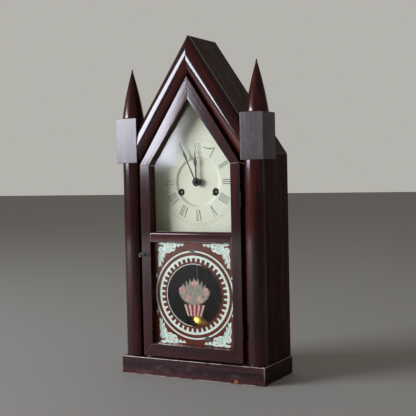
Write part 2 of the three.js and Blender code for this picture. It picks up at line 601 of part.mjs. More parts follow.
// The verge is a bent steel strip over the escape wheel, with the crutch wire hanging from its collar.
function buildEscapement() {
  const span = 11.6; // half the distance between the two pallets
  const drop = vergeAt.z - ESCAPE.z;
  const strip = [
    [-span - 1.2, -drop + 10.6], [-span, -drop + 10.9], [-span + 0.9, -6.4], [-3, -2.2], [3, -2.2],
    [span - 0.9, -6.4], [span, -drop + 10.9], [span + 1.2, -drop + 10.6], [span + 0.9, -5],
    [3, 2.2], [-3, 2.2], [-span - 0.9, -5],
  ];
  const forkZ = -26;
  const wire = rectangle(-0.6, forkZ, 0.6, 0);
  const prong = (x) => rectangle(x - 0.4, forkZ - 2, x + 0.4, forkZ + 2);
  const forkHalf = PENDULUM.rod + 1;
  const forkFront = PENDULUM.y - 1.6;
  const crutchY = 44.2;
  const crutchBack = crutchY + 0.6;
  const vergePiece = join(
    slab(strip, ESCAPE.front - 0.1, ESCAPE.front + 1.1),
    rod(2.4, crutchY, PLATES.front - 0.8, 0, 0, 12),
    slab(wire, crutchY, crutchBack),
    slab(rectangle(-forkHalf - 0.4, forkZ - 1, forkHalf + 0.4, forkZ + 1), crutchY, crutchBack),
    slab(prong(-forkHalf), forkFront, crutchBack),
    slab(prong(forkHalf), forkFront, crutchBack),
  );
  const vergeBore = rod(ARBOR.vergeStud + GAP, 0, CASE.back);
  add('verge', cut(vergePiece, vergeBore), STEEL, movementGroup, vergeAt.x, vergeAt.z);

  // The cock grips the suspension spring above the verge.
  const { x, y, top, rod: wireRadius, bobZ, bobRadius } = PENDULUM;
  const cock = join(
    block([x - 3, y - 2.5, top + 2.3], [x + 3, PLATES.front - GAP, top + 6]),
    block([x - 3, y - 2.5, top - 3], [x - 0.45, y + 2, top + 3]),
    block([x + 0.45, y - 2.5, top - 3], [x + 3, y + 2, top + 3]),
  );
  add('suspension_cock', cock, BRASS, movementGroup);

  const hookZ = bobZ + bobRadius + 2;
  const suspended = join(
    block([x - 0.12, y - 1, top - 26], [x + 0.12, y + 0.9, top + 1.9]),
    spun([[0, bobZ - 24], [wireRadius, bobZ - 24], [wireRadius, top - 24], [0, top - 24]], x, y, 8),
    block([x - 0.5, y - 0.9, hookZ - 3], [x + 0.5, y + 0.9, hookZ]),
    spun([[0, bobZ - 23], [2.6, bobZ - 23], [2.6, bobZ - 20.5], [0, bobZ - 20.5]], x, y, 10),
  );
  add('pendulum_rod', suspended, STEEL, movementGroup);
  const halfLens = [[3, 4.2], [14, 3.2], [bobRadius, 0.6]];
  const lens = turned([...halfLens.map(([r, d]) => [r, -d]), ...halfLens.slice().reverse()], 0, 0, 24);
  const channel = block([-0.5 - GAP, -1.3, -30], [0.5 + GAP, 1.3, 30]);
  const bob = cut(lens, channel);
  const mesh = add('pendulum_bob', bob, BRASS, movementGroup, x, bobZ);
  mesh.position.y = y;
}

function buildMotionWork() {
  const { cannon, minute, pinion: leaves, hour, module } = MOTION;
  const toMinute = direction(centreAt, minuteAt);
  const arbor = join(
    turned([[ARBOR.centre, 39], [ARBOR.centre, PLATES.back + PLATES.thick]], 0, 0, 12),
    turned([[ARBOR.nose, HANDS.hub - 1.7], [ARBOR.nose, 39.1]], 0, 0, 12),
    pinion(cannon, module, ...LAYER.cannon),
  );
  add('centre_arbor', arbor, STEEL, movementGroup, centreAt.x, centreAt.z);

  // The minute wheel's pinion drives the hour wheel, whose module makes the two distances agree.
  const hourModule = (2 * minuteReach) / (leaves + hour);
  const minutePhase = meshPhase(0, cannon, minute, toMinute);
  const minuteWheel = join(
    wheel(minute, module, ...LAYER.minuteWheel, minutePhase),
    pinion(leaves, hourModule, ...LAYER.minutePinion),
    rod(2, LAYER.minutePinion[0], LAYER.minuteWheel[1], 0, 0, 12),
  );
  const bored = cut(minuteWheel, rod(ARBOR.stud + GAP, 0, CASE.back));
  add('minute_wheel', bored, BRASS, movementGroup, minuteAt.x, minuteAt.z);
  const hourPhase = meshPhase(0, leaves, hour, toMinute + Math.PI);
  const pipe = rod(ARBOR.hourPipe, ...LAYER.hourPipe, 0, 0, 14);
  const hourWheel = join(wheel(hour, hourModule, ...LAYER.hourWheel, hourPhase), pipe);
  const hourBore = rod(ARBOR.nose + 2 * GAP, 0, CASE.back);
  add('hour_wheel', cut(hourWheel, hourBore), BRASS, movementGroup, centreAt.x, centreAt.z);
}

// ---- strike side --------------------------------------------------------------------------------
function buildStrikeTrain() {
  // The count wheel, notched between each hour's blows, is riveted to the back of the great wheel.
  const notches = [];
  let blows = 0;
  for (let hour = 1; hour <= 12; hour += 1) {
    blows += hour;
    notches.push((blows * 2 * Math.PI) / 78);
  }
  const count = { radius: 24.6, inner: 21.4, notch: 2, thick: 0.9 };
  const [greatFront, greatBack] = LAYER.strikeGreat;
  const slot = (angle) => {
    const deep = polar(count.radius - count.notch, angle);
    const past = polar(count.radius + 1.4, angle);
    const [acrossX, acrossZ] = polar(0.7, angle + Math.PI / 2);
    const beside = ([x, z], side) => [x + side * acrossX, z + side * acrossZ];
    const outline = [beside(deep, -1), beside(past, -1), beside(past, 1), beside(deep, 1)];
    return slab(outline, greatFront + 1, greatBack + 2);
  };
  const discFront = greatBack - 0.1;
  const disc = slab(circle(count.radius, 30), discFront, discFront + count.thick, [circle(count.inner, 20)]);
  buildPower('strike', strikeAt, LAYER.strikeGreat, 0, [cut(disc, ...notches.map(slot))]);

  const pinPhase = meshPhase(0, GREAT.teeth, GREAT.leaves, pinAngle);
  const pinCircle = 17.5;
  const pins = Array.from({ length: 8 }, (_, i) => {
    const a = (2 * Math.PI * (i + 0.5)) / 8;
    return rod(0.7, ...LAYER.pins, pinCircle * Math.cos(a), pinCircle * Math.sin(a), 5);
  });
  const pinWheel = join(
    turned(arborProfile(1.3), 0, 0, 8),
    pinion(GREAT.leaves, greatModule, ...LAYER.strikePinion, pinPhase),
    wheel(PINWHEEL.teeth, PINWHEEL.module, ...LAYER.pinWheel),
    ...pins,
  );
  add('strike_pin_wheel', pinWheel, BRASS, movementGroup, pinAt.x, pinAt.z);

  const flyPhase = meshPhase(0, PINWHEEL.teeth, PINWHEEL.leaves, flyAngle);
  const [fanFront, fanBack] = LAYER.fan;
  const fan = block([-9.5, fanFront, -0.3], [9.5, fanBack, 0.3]);
  const fly = join(
    turned(arborProfile(1.1), 0, 0, 8),
    pinion(PINWHEEL.leaves, PINWHEEL.module, ...LAYER.flyPinion, flyPhase),
    fan,
    rod(2, ...LAYER.flyHub),
  );
  add('fly', fly, BRASS, movementGroup, flyAt.x, flyAt.z);
}

// A flat spiral that starts at the top of its inner radius.
class Spiral extends THREE.Curve {
  constructor(inner, outer, turns, y) {
    super();
    Object.assign(this, { inner, outer, turns, y });
  }

  getPoint(t, target = new THREE.Vector3()) {
    const r = this.inner + (this.outer - this.inner) * t;
    const a = Math.PI / 2 + 2 * Math.PI * this.turns * t;
    return target.set(r * Math.cos(a), this.y, r * Math.sin(a));
  }
}

function buildStriker() {
  const { z, y, reach } = HAMMER;
  const shaft = turned(arborProfile(1.4), 0, 0, 8);
  const wire = rectangle(-0.9, -reach + 3, 0.9, 0);
  const head = turned([[4.4, y - 5.5], [5, y - 4.5], [5, y + 4.5], [4.4, y + 5.5]], 0, -reach, 16);
  add('hammer', join(shaft, slab(wire, y - 0.9, y + 0.9), head), STEEL, movementGroup, 0, z);

  // The gong is a flat coil of round wire, its inner end held in a post on a cast base.
  const { x: gx, z: gz, inner, outer, turns, wire: radius, perTurn } = GONG;
  const extrudePath = new Spiral(inner, outer, turns, GONG.y);
  const steps = Math.round(turns * perTurn);
  const section = shapeOf(circle(radius, 6));
  const coil = new THREE.ExtrudeGeometry(section, { steps, extrudePath, bevelEnabled: false });
  add('gong_coil', solidOf(coil), STEEL, movementGroup, gx, gz);
  const back = CASE.back - CASE.backBoard - GAP;
  const postZ = inner - radius - 4 * GAP - 5;
  const base = join(
    turned([[16, back], [16, back - 4], [9, back - 7]].reverse(), 0, 0, 24),
    block([-4, GONG.y + 3.4, 0], [4, back - 5, postZ + 5]),
    block([-4, GONG.y - 3, postZ - 3], [4, back - 5, postZ + 5]),
  );
  add('gong_base', base, BLACK_IRON, movementGroup, gx, gz);
}

// ---- dial and hands -----------------------------------------------------------------------------
function buildDial() {
  const { front, thick, half, bottom, inset } = DIAL;
  const outline = caseOutline(half, bottom, inset);
  const holes = [
    circle(4, 16, centreAt.x, centreAt.z),
    circle(WINDING.hole, 16, timeAt.x, timeAt.z),
    circle(WINDING.hole, 16, strikeAt.x, strikeAt.z),
  ];
  add('dial_plate', slab(outline, front, front + thick, holes), DIAL_PAINT, movementGroup);
}

// A hand drawn pointing up from its hub: a slim shaft with a pointed leaf, a tip and a round eye.
function handOutline(length, leafAt, leafHalf, shaftHalf, hub) {
  const side = [
    [shaftHalf + 0.3, hub * 0.8], [shaftHalf, leafAt - 7], [leafHalf, leafAt],
    [shaftHalf, leafAt + 7], [0.3, length],
  ];
  return [...side, ...side.slice().reverse().map(([x, z]) => [-x, z])];
}

function buildHands() {
  const { hub, thick, minuteLength, hourLength, minuteAngle, hourAngle } = HANDS;
  const turnTo = (angle) => THREE.MathUtils.degToRad(90 - angle);
  const minute = join(
    slab(handOutline(minuteLength, 42, 2.3, 0.75, 4.5), hub, hub + thick),
    rod(4.6, hub, hub + thick, 0, 0, 16),
  );
  const noseBore = rod(ARBOR.nose + GAP, hub - 2, CASE.back);
  const minuteHand = add('minute_hand', cut(minute, noseBore), BLACK_IRON, movementGroup, 0, DIAL.z);
  minuteHand.rotation.y = turnTo(minuteAngle);
  const hourY = hub + 2;
  const hourPiece = join(
    slab(handOutline(hourLength, 29, 2.9, 0.9, 6), hourY, hourY + thick),
    rod(6.5, hourY - 0.4, hourY + 1.2, 0, 0, 18),
  );
  const pipeBore = rod(ARBOR.hourPipe + GAP, 0, CASE.back);
  const hourHand = add('hour_hand', cut(hourPiece, pipeBore), BLACK_IRON, movementGroup, 0, DIAL.z);
  hourHand.rotation.y = turnTo(hourAngle);
  const nut = turned([[1.6, hub - 2.4], [3, hub - 1.6], [3, hub - GAP]], 0, 0, 14);
  add('hand_nut', cut(nut, noseBore), BLACK_IRON, movementGroup, 0, DIAL.z);
}

buildPlinth();
buildShell();
buildFront();
buildSteeples();
buildGable();
buildDoor();
buildHinges();
buildLatch();
buildDial();
buildHands();
buildPlates();
buildTimeTrain();
buildEscapement();
buildMotionWork();
buildStrikeTrain();
buildStriker();

export default clock;
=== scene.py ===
"""The looks of a Gothic steeple shelf clock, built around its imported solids."""
import json
import math
import random

import bpy
from mathutils import Matrix, Vector

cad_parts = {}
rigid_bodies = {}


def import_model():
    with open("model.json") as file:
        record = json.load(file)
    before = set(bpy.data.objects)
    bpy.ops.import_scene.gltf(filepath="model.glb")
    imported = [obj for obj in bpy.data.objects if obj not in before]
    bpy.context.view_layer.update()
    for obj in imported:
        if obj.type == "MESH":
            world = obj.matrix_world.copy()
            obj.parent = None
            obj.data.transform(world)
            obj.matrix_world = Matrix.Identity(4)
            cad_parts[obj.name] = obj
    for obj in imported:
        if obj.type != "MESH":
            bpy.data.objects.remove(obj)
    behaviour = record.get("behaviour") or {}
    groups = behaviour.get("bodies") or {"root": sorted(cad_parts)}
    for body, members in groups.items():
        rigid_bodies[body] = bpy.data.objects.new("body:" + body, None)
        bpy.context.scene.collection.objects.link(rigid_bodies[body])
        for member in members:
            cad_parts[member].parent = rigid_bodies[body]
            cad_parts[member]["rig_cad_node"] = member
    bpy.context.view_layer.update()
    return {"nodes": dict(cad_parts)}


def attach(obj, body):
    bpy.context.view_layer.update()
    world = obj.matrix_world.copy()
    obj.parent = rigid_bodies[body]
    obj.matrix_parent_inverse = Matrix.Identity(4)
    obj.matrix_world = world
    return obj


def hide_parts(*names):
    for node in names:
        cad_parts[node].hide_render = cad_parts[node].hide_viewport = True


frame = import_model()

# ---- sizes and places ------------------------------------------------------------------------------
# Millimetres: x to the right, depth back from the plinth's front, z up from the floor.
MM = 0.001
HALF_DEPTH = 49  # the frame's origin lies this far behind the plinth's front
GAP = 0.3  # between pieces that touch
PEAK = 500
CASE_HALF = 116.4
EAVE = 325.9
CASE_FRONT = 16.8
BOARD = 7  # thickness of the side boards
STILE_TOP = 312
SIDES = (("left", -1), ("right", 1))
COLUMN = {"x": 101.6, "half": 14.6, "stand": 2.3, "crest": 2.6, "bottom": 26.7, "top": 316.6}
GABLE = {"width": 31, "stand": 2.5, "crest": 4, "under": 8.3, "frame": 42, "back": 34.2, "end": 85.7}
STEEPLE = {"x": 103.95, "depth": 23.75, "foot": 384.1, "collar": 1.6, "ease": 0.6, "radius": 16.3,
           "top": 458.6, "tip": 1.1, "swell": 0.36}
SLOPE_LEAN = math.degrees(math.atan(CASE_HALF / (PEAK - EAVE)))  # of sloping rails and roof, from upright
DIAL = {"z": 286.8, "front": 34.5, "thick": 0.4, "half": 84, "bottom": 194, "to_slope": 88.2}
DISH = {"inner": 33.2, "outer": 38.2, "sunk": 1.3}  # the ring that slopes down to the pressed middle
NUMERALS = {"inner": 41.5, "outer": 57.5, "hairline": 0.2}
MINUTE_TRACK = {"rings": (61.6, 64.2), "line": 0.24, "tick": 0.25}
HAND_HOLE = 5.2
WINDING = {"x": 29, "z": 272, "radius": 4.6}
HOLES = ((0, DIAL["z"], HAND_HOLE), (-WINDING["x"], WINDING["z"], WINDING["radius"]),
         (WINDING["x"], WINDING["z"], WINDING["radius"]))  # x, z, radius
TABLET = {"z": 121, "half": 71.6, "bottom": 42.8, "top": 203, "back": 15.8}
RINGS = {"line": (63.1, 65.4), "band": 58.3, "scallop": 53.6, "bars": 49, "bar_count": 40, "fine": (45.6, 46.5)}
SIDE_DOT = {"x": 63.2, "height": 27, "radius": 1.9, "bar": 5.5, "bar_half": 0.3}
CORNER = {"inward": 8.5, "down": 4}  # from the pane's corner to where its ornament is measured from
VENEER_JOINT = 73.6  # how far right of the middle the plinth's veneer is joined
VENEER_CHIP = (VENEER_JOINT + 4, 3, 6)
PAINT = 0.08  # a coat of paint, drawn thick enough to hold its shape
STROKE_LAYERS, STROKE_STEP = 16, 0.0012  # how many strokes lie behind one another, and how far apart
# The tablet's coats: how far behind the glass, but for "ground" behind the white and for "front" before it.
COATS = {"veins": (0.004, 0.015), "flakes": (0.005, 0.015), "white": 0.05, "ground": 0.02, "front": (0.045, 0.02)}

# The studio, in metres: a soft box to the left of the front, and a room that is dim before the clock.
WINDOW = {"azimuth": 45.7, "elevation": 11, "away": 3.0, "aim": (0, 0, 0.25), "size": (1.66, 0.95), "watts": 104,
          "colour": "#eef1ff"}
ROOM = {"behind": (-0.48, 0.88, 0), "wall": "#b5b3ad", "dim": "#706e6b"}
FLOOR_REACH = 12.0

# The photograph: its width in pixels, and the camera that fits the case's corners to it.
PHOTO_WIDTH = 416
FOCAL_PIXELS = 904.6
SENSOR = 36
CAMERA = {"place": (650.2, -1182.8, 295.2), "azimuth": 28.5, "elevation": 2.02, "roll": -1.18}


def at(x, depth, z):
    """A point in the frame's metres, from millimetres measured as above."""
    return Vector((x, depth - HALF_DEPTH, z)) * MM


# ---- materials -------------------------------------------------------------------------------------
SMOOTH = {"interpolation_type": "SMOOTHSTEP"}
WORN_FILM = "#a58f93"


def linear(hexcode):
    """An sRGB hex colour as linear values, opaque."""
    parts = [int(hexcode[i:i + 2], 16) / 255 for i in (1, 3, 5)]
    return (*[p / 12.92 if p <= 0.04045 else ((p + 0.055) / 1.055) ** 2.4 for p in parts], 1.0)


def connect(tree, node, **inputs):
    """Fills inputs with sockets or plain values. Spaces are written _, and _2 is the third input."""
    for name, value in inputs.items():
        key = int(name[1:]) if name[0] == "_" else name.replace("_", " ")
        if isinstance(value, bpy.types.NodeSocket):
            tree.links.new(value, node.inputs[key])
        else:
            node.inputs[key].default_value = value


def add_node(tree, kind, settings=(), **inputs):
    """One node, with its settings and inputs."""
    node = tree.nodes.new(kind)
    for name, value in dict(settings).items():
        setattr(node, name, value)
    connect(tree, node, **inputs)
    return node


def noise(tree, place, **inputs):
    """Cloudy values from 0 to 1. Scale counts the clouds in a unit of place."""
    return add_node(tree, "ShaderNodeTexNoise", Vector=place, **inputs).outputs[0]


def span(tree, value, settings=(), **inputs):
    """A value carried from one range to another."""
    return add_node(tree, "ShaderNodeMapRange", settings, Value=value, **inputs).outputs[0]


def number(tree, operation, *terms):
    """The result of a sum on numbers."""
    inputs = {f"_{i}": term for i, term in enumerate(terms)}
    return add_node(tree, "ShaderNodeMath", {"operation": operation}, **inputs).outputs[0]


def vector(tree, operation, *terms):
    """The result of a sum on vectors, which for some sums is a number."""
    inputs = {f"_{i}": term for i, term in enumerate(terms)}
    node = add_node(tree, "ShaderNodeVectorMath", {"operation": operation}, **inputs)
    return node.outputs["Value" if operation in ("DISTANCE", "DOT_PRODUCT", "LENGTH") else "Vector"]


def bumped(tree, height, **inputs):
    """A normal bent by a height."""
    return add_node(tree, "ShaderNodeBump", Height=height, **inputs).outputs[0]


def new_material(name):
    """An empty material with its output, its Principled shader and the frame's coordinates."""
    material = bpy.data.materials.new(name)
    material.use_nodes = True
    tree = material.node_tree
    tree.nodes.clear()
    shader = add_node(tree, "ShaderNodeBsdfPrincipled")
    add_node(tree, "ShaderNodeOutputMaterial", Surface=shader.outputs[0])
    place = add_node(tree, "ShaderNodeTexCoord").outputs["Object"]
    return material, tree, shader, place


def ramp(tree, factor, stops):
    """A colour ramp between (position, hex colour) stops."""
    node = add_node(tree, "ShaderNodeValToRGB", Fac=factor)
    elements = node.color_ramp.elements
    while len(elements) < len(stops):
        elements.new(0.5)
    for element, (position, colour) in zip(elements, stops):
        element.position = position
        element.color = linear(colour)
    return node.outputs["Color"]


def blend_colour(tree, factor, first, second):
    """Two colours mixed by a factor."""
    return add_node(tree, "ShaderNodeMix", {"data_type": "RGBA"}, _0=factor, _6=first, _7=second).outputs[2]


def grain_space(tree, place, turn, cell, seed):
    """Coordinates that run along the grain: turn (degrees) lays upright grain the way the board runs, and
    cell gives the pattern's size in mm across, across and along it."""
    shifted = vector(tree, "ADD", place, (seed, seed, seed))
    return add_node(tree, "ShaderNodeMapping", {"vector_type": "TEXTURE"}, Vector=shifted,
                    Rotation=tuple(math.radians(t) for t in turn), Scale=tuple(c * MM for c in cell)).outputs[0]


def rosewood(name, dark, middle, light, turn, coat=1.0, polish=0.09, worn=0.0, seed=0.0):
    """Rosewood veneer, knife-cut and French polished. The figure runs in dark and red streaks 5 to 10 mm
    wide along the grain, under a thin shellac film. The open pores are drawn 0.9 mm wide, several times
    coarser than real ones, which wouldn't show. The film follows the pores and the scraper's marks, which
    draws its highlights out into fine lines. Where it is worn it scatters, and the wood looks greyer."""
    material, tree, shader, place = new_material(name)

    def along_grain(*cell, **inputs):
        return noise(tree, grain_space(tree, place, turn, cell, seed), Scale=1.0, **inputs)

    figure = along_grain(9, 9, 190, Detail=4.0, Roughness=0.55, Distortion=0.5)
    colour = ramp(tree, figure, [(0.3, dark), (0.5, middle), (0.72, light)])
    pores = along_grain(0.9, 0.9, 14, Detail=2.0)
    pore_mask = span(tree, pores, From_Min=0.55, From_Max=0.7, To_Max=0.7)
    colour = blend_colour(tree, pore_mask, colour, linear(dark))
    patches = along_grain(18, 18, 34, Detail=5.0, Roughness=0.62)
    wear = span(tree, patches, From_Min=0.6 - worn * 0.25, From_Max=0.8, To_Max=worn * 0.8)
    colour = blend_colour(tree, wear, colour, linear(WORN_FILM))
    roughness = span(tree, patches, From_Min=0.35, From_Max=0.75, To_Min=0.42, To_Max=0.6)
    scraped = along_grain(3.2, 3.2, 110, Detail=3.0, Roughness=0.5)
    bump = bumped(tree, number(tree, "MULTIPLY_ADD", pores, -0.35, scraped), Strength=0.13, Distance=0.0003)
    connect(tree, shader, Base_Color=colour, Roughness=roughness, Normal=bump, Coat_Normal=bump, IOR=1.45,
            Specular_IOR_Level=0.05, Coat_Weight=coat, Coat_Roughness=polish, Coat_IOR=1.5)
    return material


def mark_plinth(material):
    """Where two sheets of veneer meet on the plinth a dark joint shows, and a chip at its foot bares
    orange-brown wood, ragged and about 7 mm across."""
    tree = material.node_tree
    shader = next(n for n in tree.nodes if n.bl_idname == "ShaderNodeBsdfPrincipled")
    colour = shader.inputs["Base Color"].links[0].from_socket
    place = add_node(tree, "ShaderNodeTexCoord").outputs["Object"]
    x = add_node(tree, "ShaderNodeSeparateXYZ", Vector=place).outputs[0]
    beside = number(tree, "ABSOLUTE", number(tree, "SUBTRACT", x, VENEER_JOINT * MM))
    joint = span(tree, beside, From_Min=0.3 * MM, From_Max=0.9 * MM, To_Min=0.8, To_Max=0.0)
    colour = blend_colour(tree, joint, colour, linear("#0f0606"))
    ragged = add_node(tree, "ShaderNodeTexNoise", Vector=place, Scale=420.0, Detail=3.0).outputs["Color"]
    shaken = vector(tree, "MULTIPLY_ADD", ragged, (0.007, 0.007, 0.007), place)
    far = vector(tree, "DISTANCE", shaken, at(*VENEER_CHIP))
    chip = span(tree, far, From_Min=2.6 * MM, From_Max=4.2 * MM, To_Min=0.9, To_Max=0.0)
    connect(tree, shader, Base_Color=blend_colour(tree, chip, colour, linear("#b0622f")))
    return material


def worn_arris_painted_highlight(name, dark, pale, seed=0.0):
    """The rubbed edge of a polished board: the film and its colour are gone in stretches 5 to 30 mm long,
    and bare wood shows pale between stretches that are still dark. The pale stretches are partly wear and
    partly painted highlight along the edge."""
    material, tree, shader, place = new_material(name)
    shifted = vector(tree, "ADD", place, (seed, seed, seed))
    rub = noise(tree, shifted, Scale=55.0, Detail=4.0, Roughness=0.65)
    # Pale stretches: bare wood, and painted highlight along the edge.
    connect(tree, shader, Base_Color=ramp(tree, rub, [(0.4, dark), (0.56, pale)]), Roughness=0.38,
            Specular_IOR_Level=0.3, Coat_Weight=0.5, Coat_Roughness=0.2)
    return material


def bare_pine(name):
    """Pine board, planed and left bare for a century: tan darkened to brown, with early and late wood in
    bands 3 to 6 mm wide and a dry, dull surface."""
    material, tree, shader, place = new_material(name)
    space = add_node(tree, "ShaderNodeMapping", Vector=place, Scale=(210, 210, 6)).outputs[0]
    bands = noise(tree, space, Scale=1.0, Detail=3.0, Distortion=0.4)
    colour = ramp(tree, bands, [(0.3, "#6b4f31"), (0.55, "#573c22"), (0.75, "#3c2714")])
    dirt = noise(tree, place, Scale=14.0, Detail=5.0)
    grime = span(tree, dirt, From_Min=0.45, From_Max=0.75, To_Max=0.6)
    connect(tree, shader, Base_Color=blend_colour(tree, grime, colour, linear("#26190f")), Roughness=0.8,
            Normal=bumped(tree, bands, Strength=0.3, Distance=0.0005))
    return material


def metal(name, colour, stain, roughness, tarnish=0.35):
    """Rolled sheet or turned bar, finished with fine abrasive: scratches too fine to show are drawn about
    1 mm apart, and tarnish gathers in soft patches 20 to 40 mm across."""
    material, tree, shader, place = new_material(name)
    patches = noise(tree, place, Scale=38.0, Detail=5.0)
    amount = span(tree, patches, From_Min=0.45, From_Max=0.75, To_Max=tarnish)
    scratches = noise(tree, place, Scale=900.0, Detail=2.0)
    rough = span(tree, scratches, To_Min=roughness * 0.75, To_Max=roughness * 1.4)
    connect(tree, shader, Base_Color=blend_colour(tree, amount, linear(colour), linear(stain)),
            Roughness=rough, Metallic=1.0)
    return material


def black_paint(name, roughness=0.38):
    """Japan black brushed on iron or steel: nearly black, soft shine, with dust dulling it in specks."""
    material, tree, shader, place = new_material(name)
    specks = noise(tree, place, Scale=420.0, Detail=4.0)
    rough = span(tree, specks, To_Min=roughness * 0.8, To_Max=roughness * 1.5)
    connect(tree, shader, Base_Color=ramp(tree, specks, [(0.45, "#0a0b0c"), (0.75, "#1e1f20")]),
            Roughness=rough, Specular_IOR_Level=0.3)
    return material


def dial_enamel(name):
    """Zinc sheet under oil paint, once white: it has yellowed to cream with a green cast in cloudy stains 30 to
    80 mm across, is darker toward its edges, and has a faint eggshell texture. The sheet itself slopes
    down to its pressed middle, and a bump over the same ring deepens that ring's light and shade."""
    material, tree, shader, place = new_material(name)
    clouds = noise(tree, place, Scale=16.0, Detail=6.0, Roughness=0.6)
    colour = ramp(tree, clouds, [(0.3, "#f6f3e2"), (0.55, "#f0ecd3"), (0.78, "#dad5b2")])
    specks = noise(tree, place, Scale=520.0, Detail=3.0)
    spotted = span(tree, specks, From_Min=0.66, From_Max=0.76, To_Max=0.4)
    colour = blend_colour(tree, spotted, colour, linear("#9c946f"))
    from_middle = vector(tree, "SUBTRACT", place, at(0, HALF_DEPTH, DIAL["z"]))
    radius = vector(tree, "LENGTH", vector(tree, "MULTIPLY", from_middle, (1, 0, 1)))
    # Darker toward the edges of the sheet.
    edge = span(tree, radius, SMOOTH, From_Min=66 * MM, From_Max=105 * MM, To_Max=0.4)
    colour = blend_colour(tree, edge, colour, linear("#b9b694"))
    ring = span(tree, radius, SMOOTH, From_Min=DISH["inner"] * MM, From_Max=DISH["outer"] * MM)
    pressed = bumped(tree, ring, Strength=1.0, Distance=DISH["sunk"] * MM)
    eggshell = bumped(tree, specks, Strength=0.06, Distance=0.0003, Normal=pressed)
    connect(tree, shader, Base_Color=colour, Roughness=0.5, Specular_IOR_Level=0.3, Normal=eggshell)
    return material


def flat_paint(name, colour, faded, scale, roughness=0.45):
    """Oil colour laid by brush or stencil: thinner in patches, where it fades toward what lies behind."""
    material, tree, shader, place = new_material(name)
    thin = noise(tree, place, Scale=scale, Detail=5.0, Roughness=0.65)
    connect(tree, shader, Base_Color=ramp(tree, thin, [(0.42, colour), (0.72, faded)]), Roughness=roughness,
            Specular_IOR_Level=0.1)
    return material


def old_window_glass(name):
    """Cylinder glass, hand flattened: clear, with slow waves 20 to 50 mm long that bend its reflections.
    Each face throws back 2% of the light, half of what clear glass does, so that the lamp's reflection
    leaves the dial readable, and more at a slant."""
    material, tree, shader, place = new_material(name)
    waves = noise(tree, place, Scale=26.0, Detail=1.0)
    bump = bumped(tree, waves, Strength=0.1, Distance=0.001)
    slant = add_node(tree, "ShaderNodeLayerWeight", Blend=0.5).outputs["Facing"]
    share = number(tree, "MULTIPLY_ADD", number(tree, "POWER", slant, 5.0), 0.98, 0.02)
    clear = add_node(tree, "ShaderNodeBsdfTransparent", Color=linear("#fcfefc")).outputs[0]
    gloss = add_node(tree, "ShaderNodeBsdfAnisotropic", Color=(1, 1, 1, 1), Roughness=0.07, Normal=bump).outputs[0]
    both = add_node(tree, "ShaderNodeMixShader", _0=share, _1=clear, _2=gloss).outputs[0]
    tree.nodes.remove(shader)
    connect(tree, next(n for n in tree.nodes if n.bl_idname == "ShaderNodeOutputMaterial"), Surface=both)
    return material


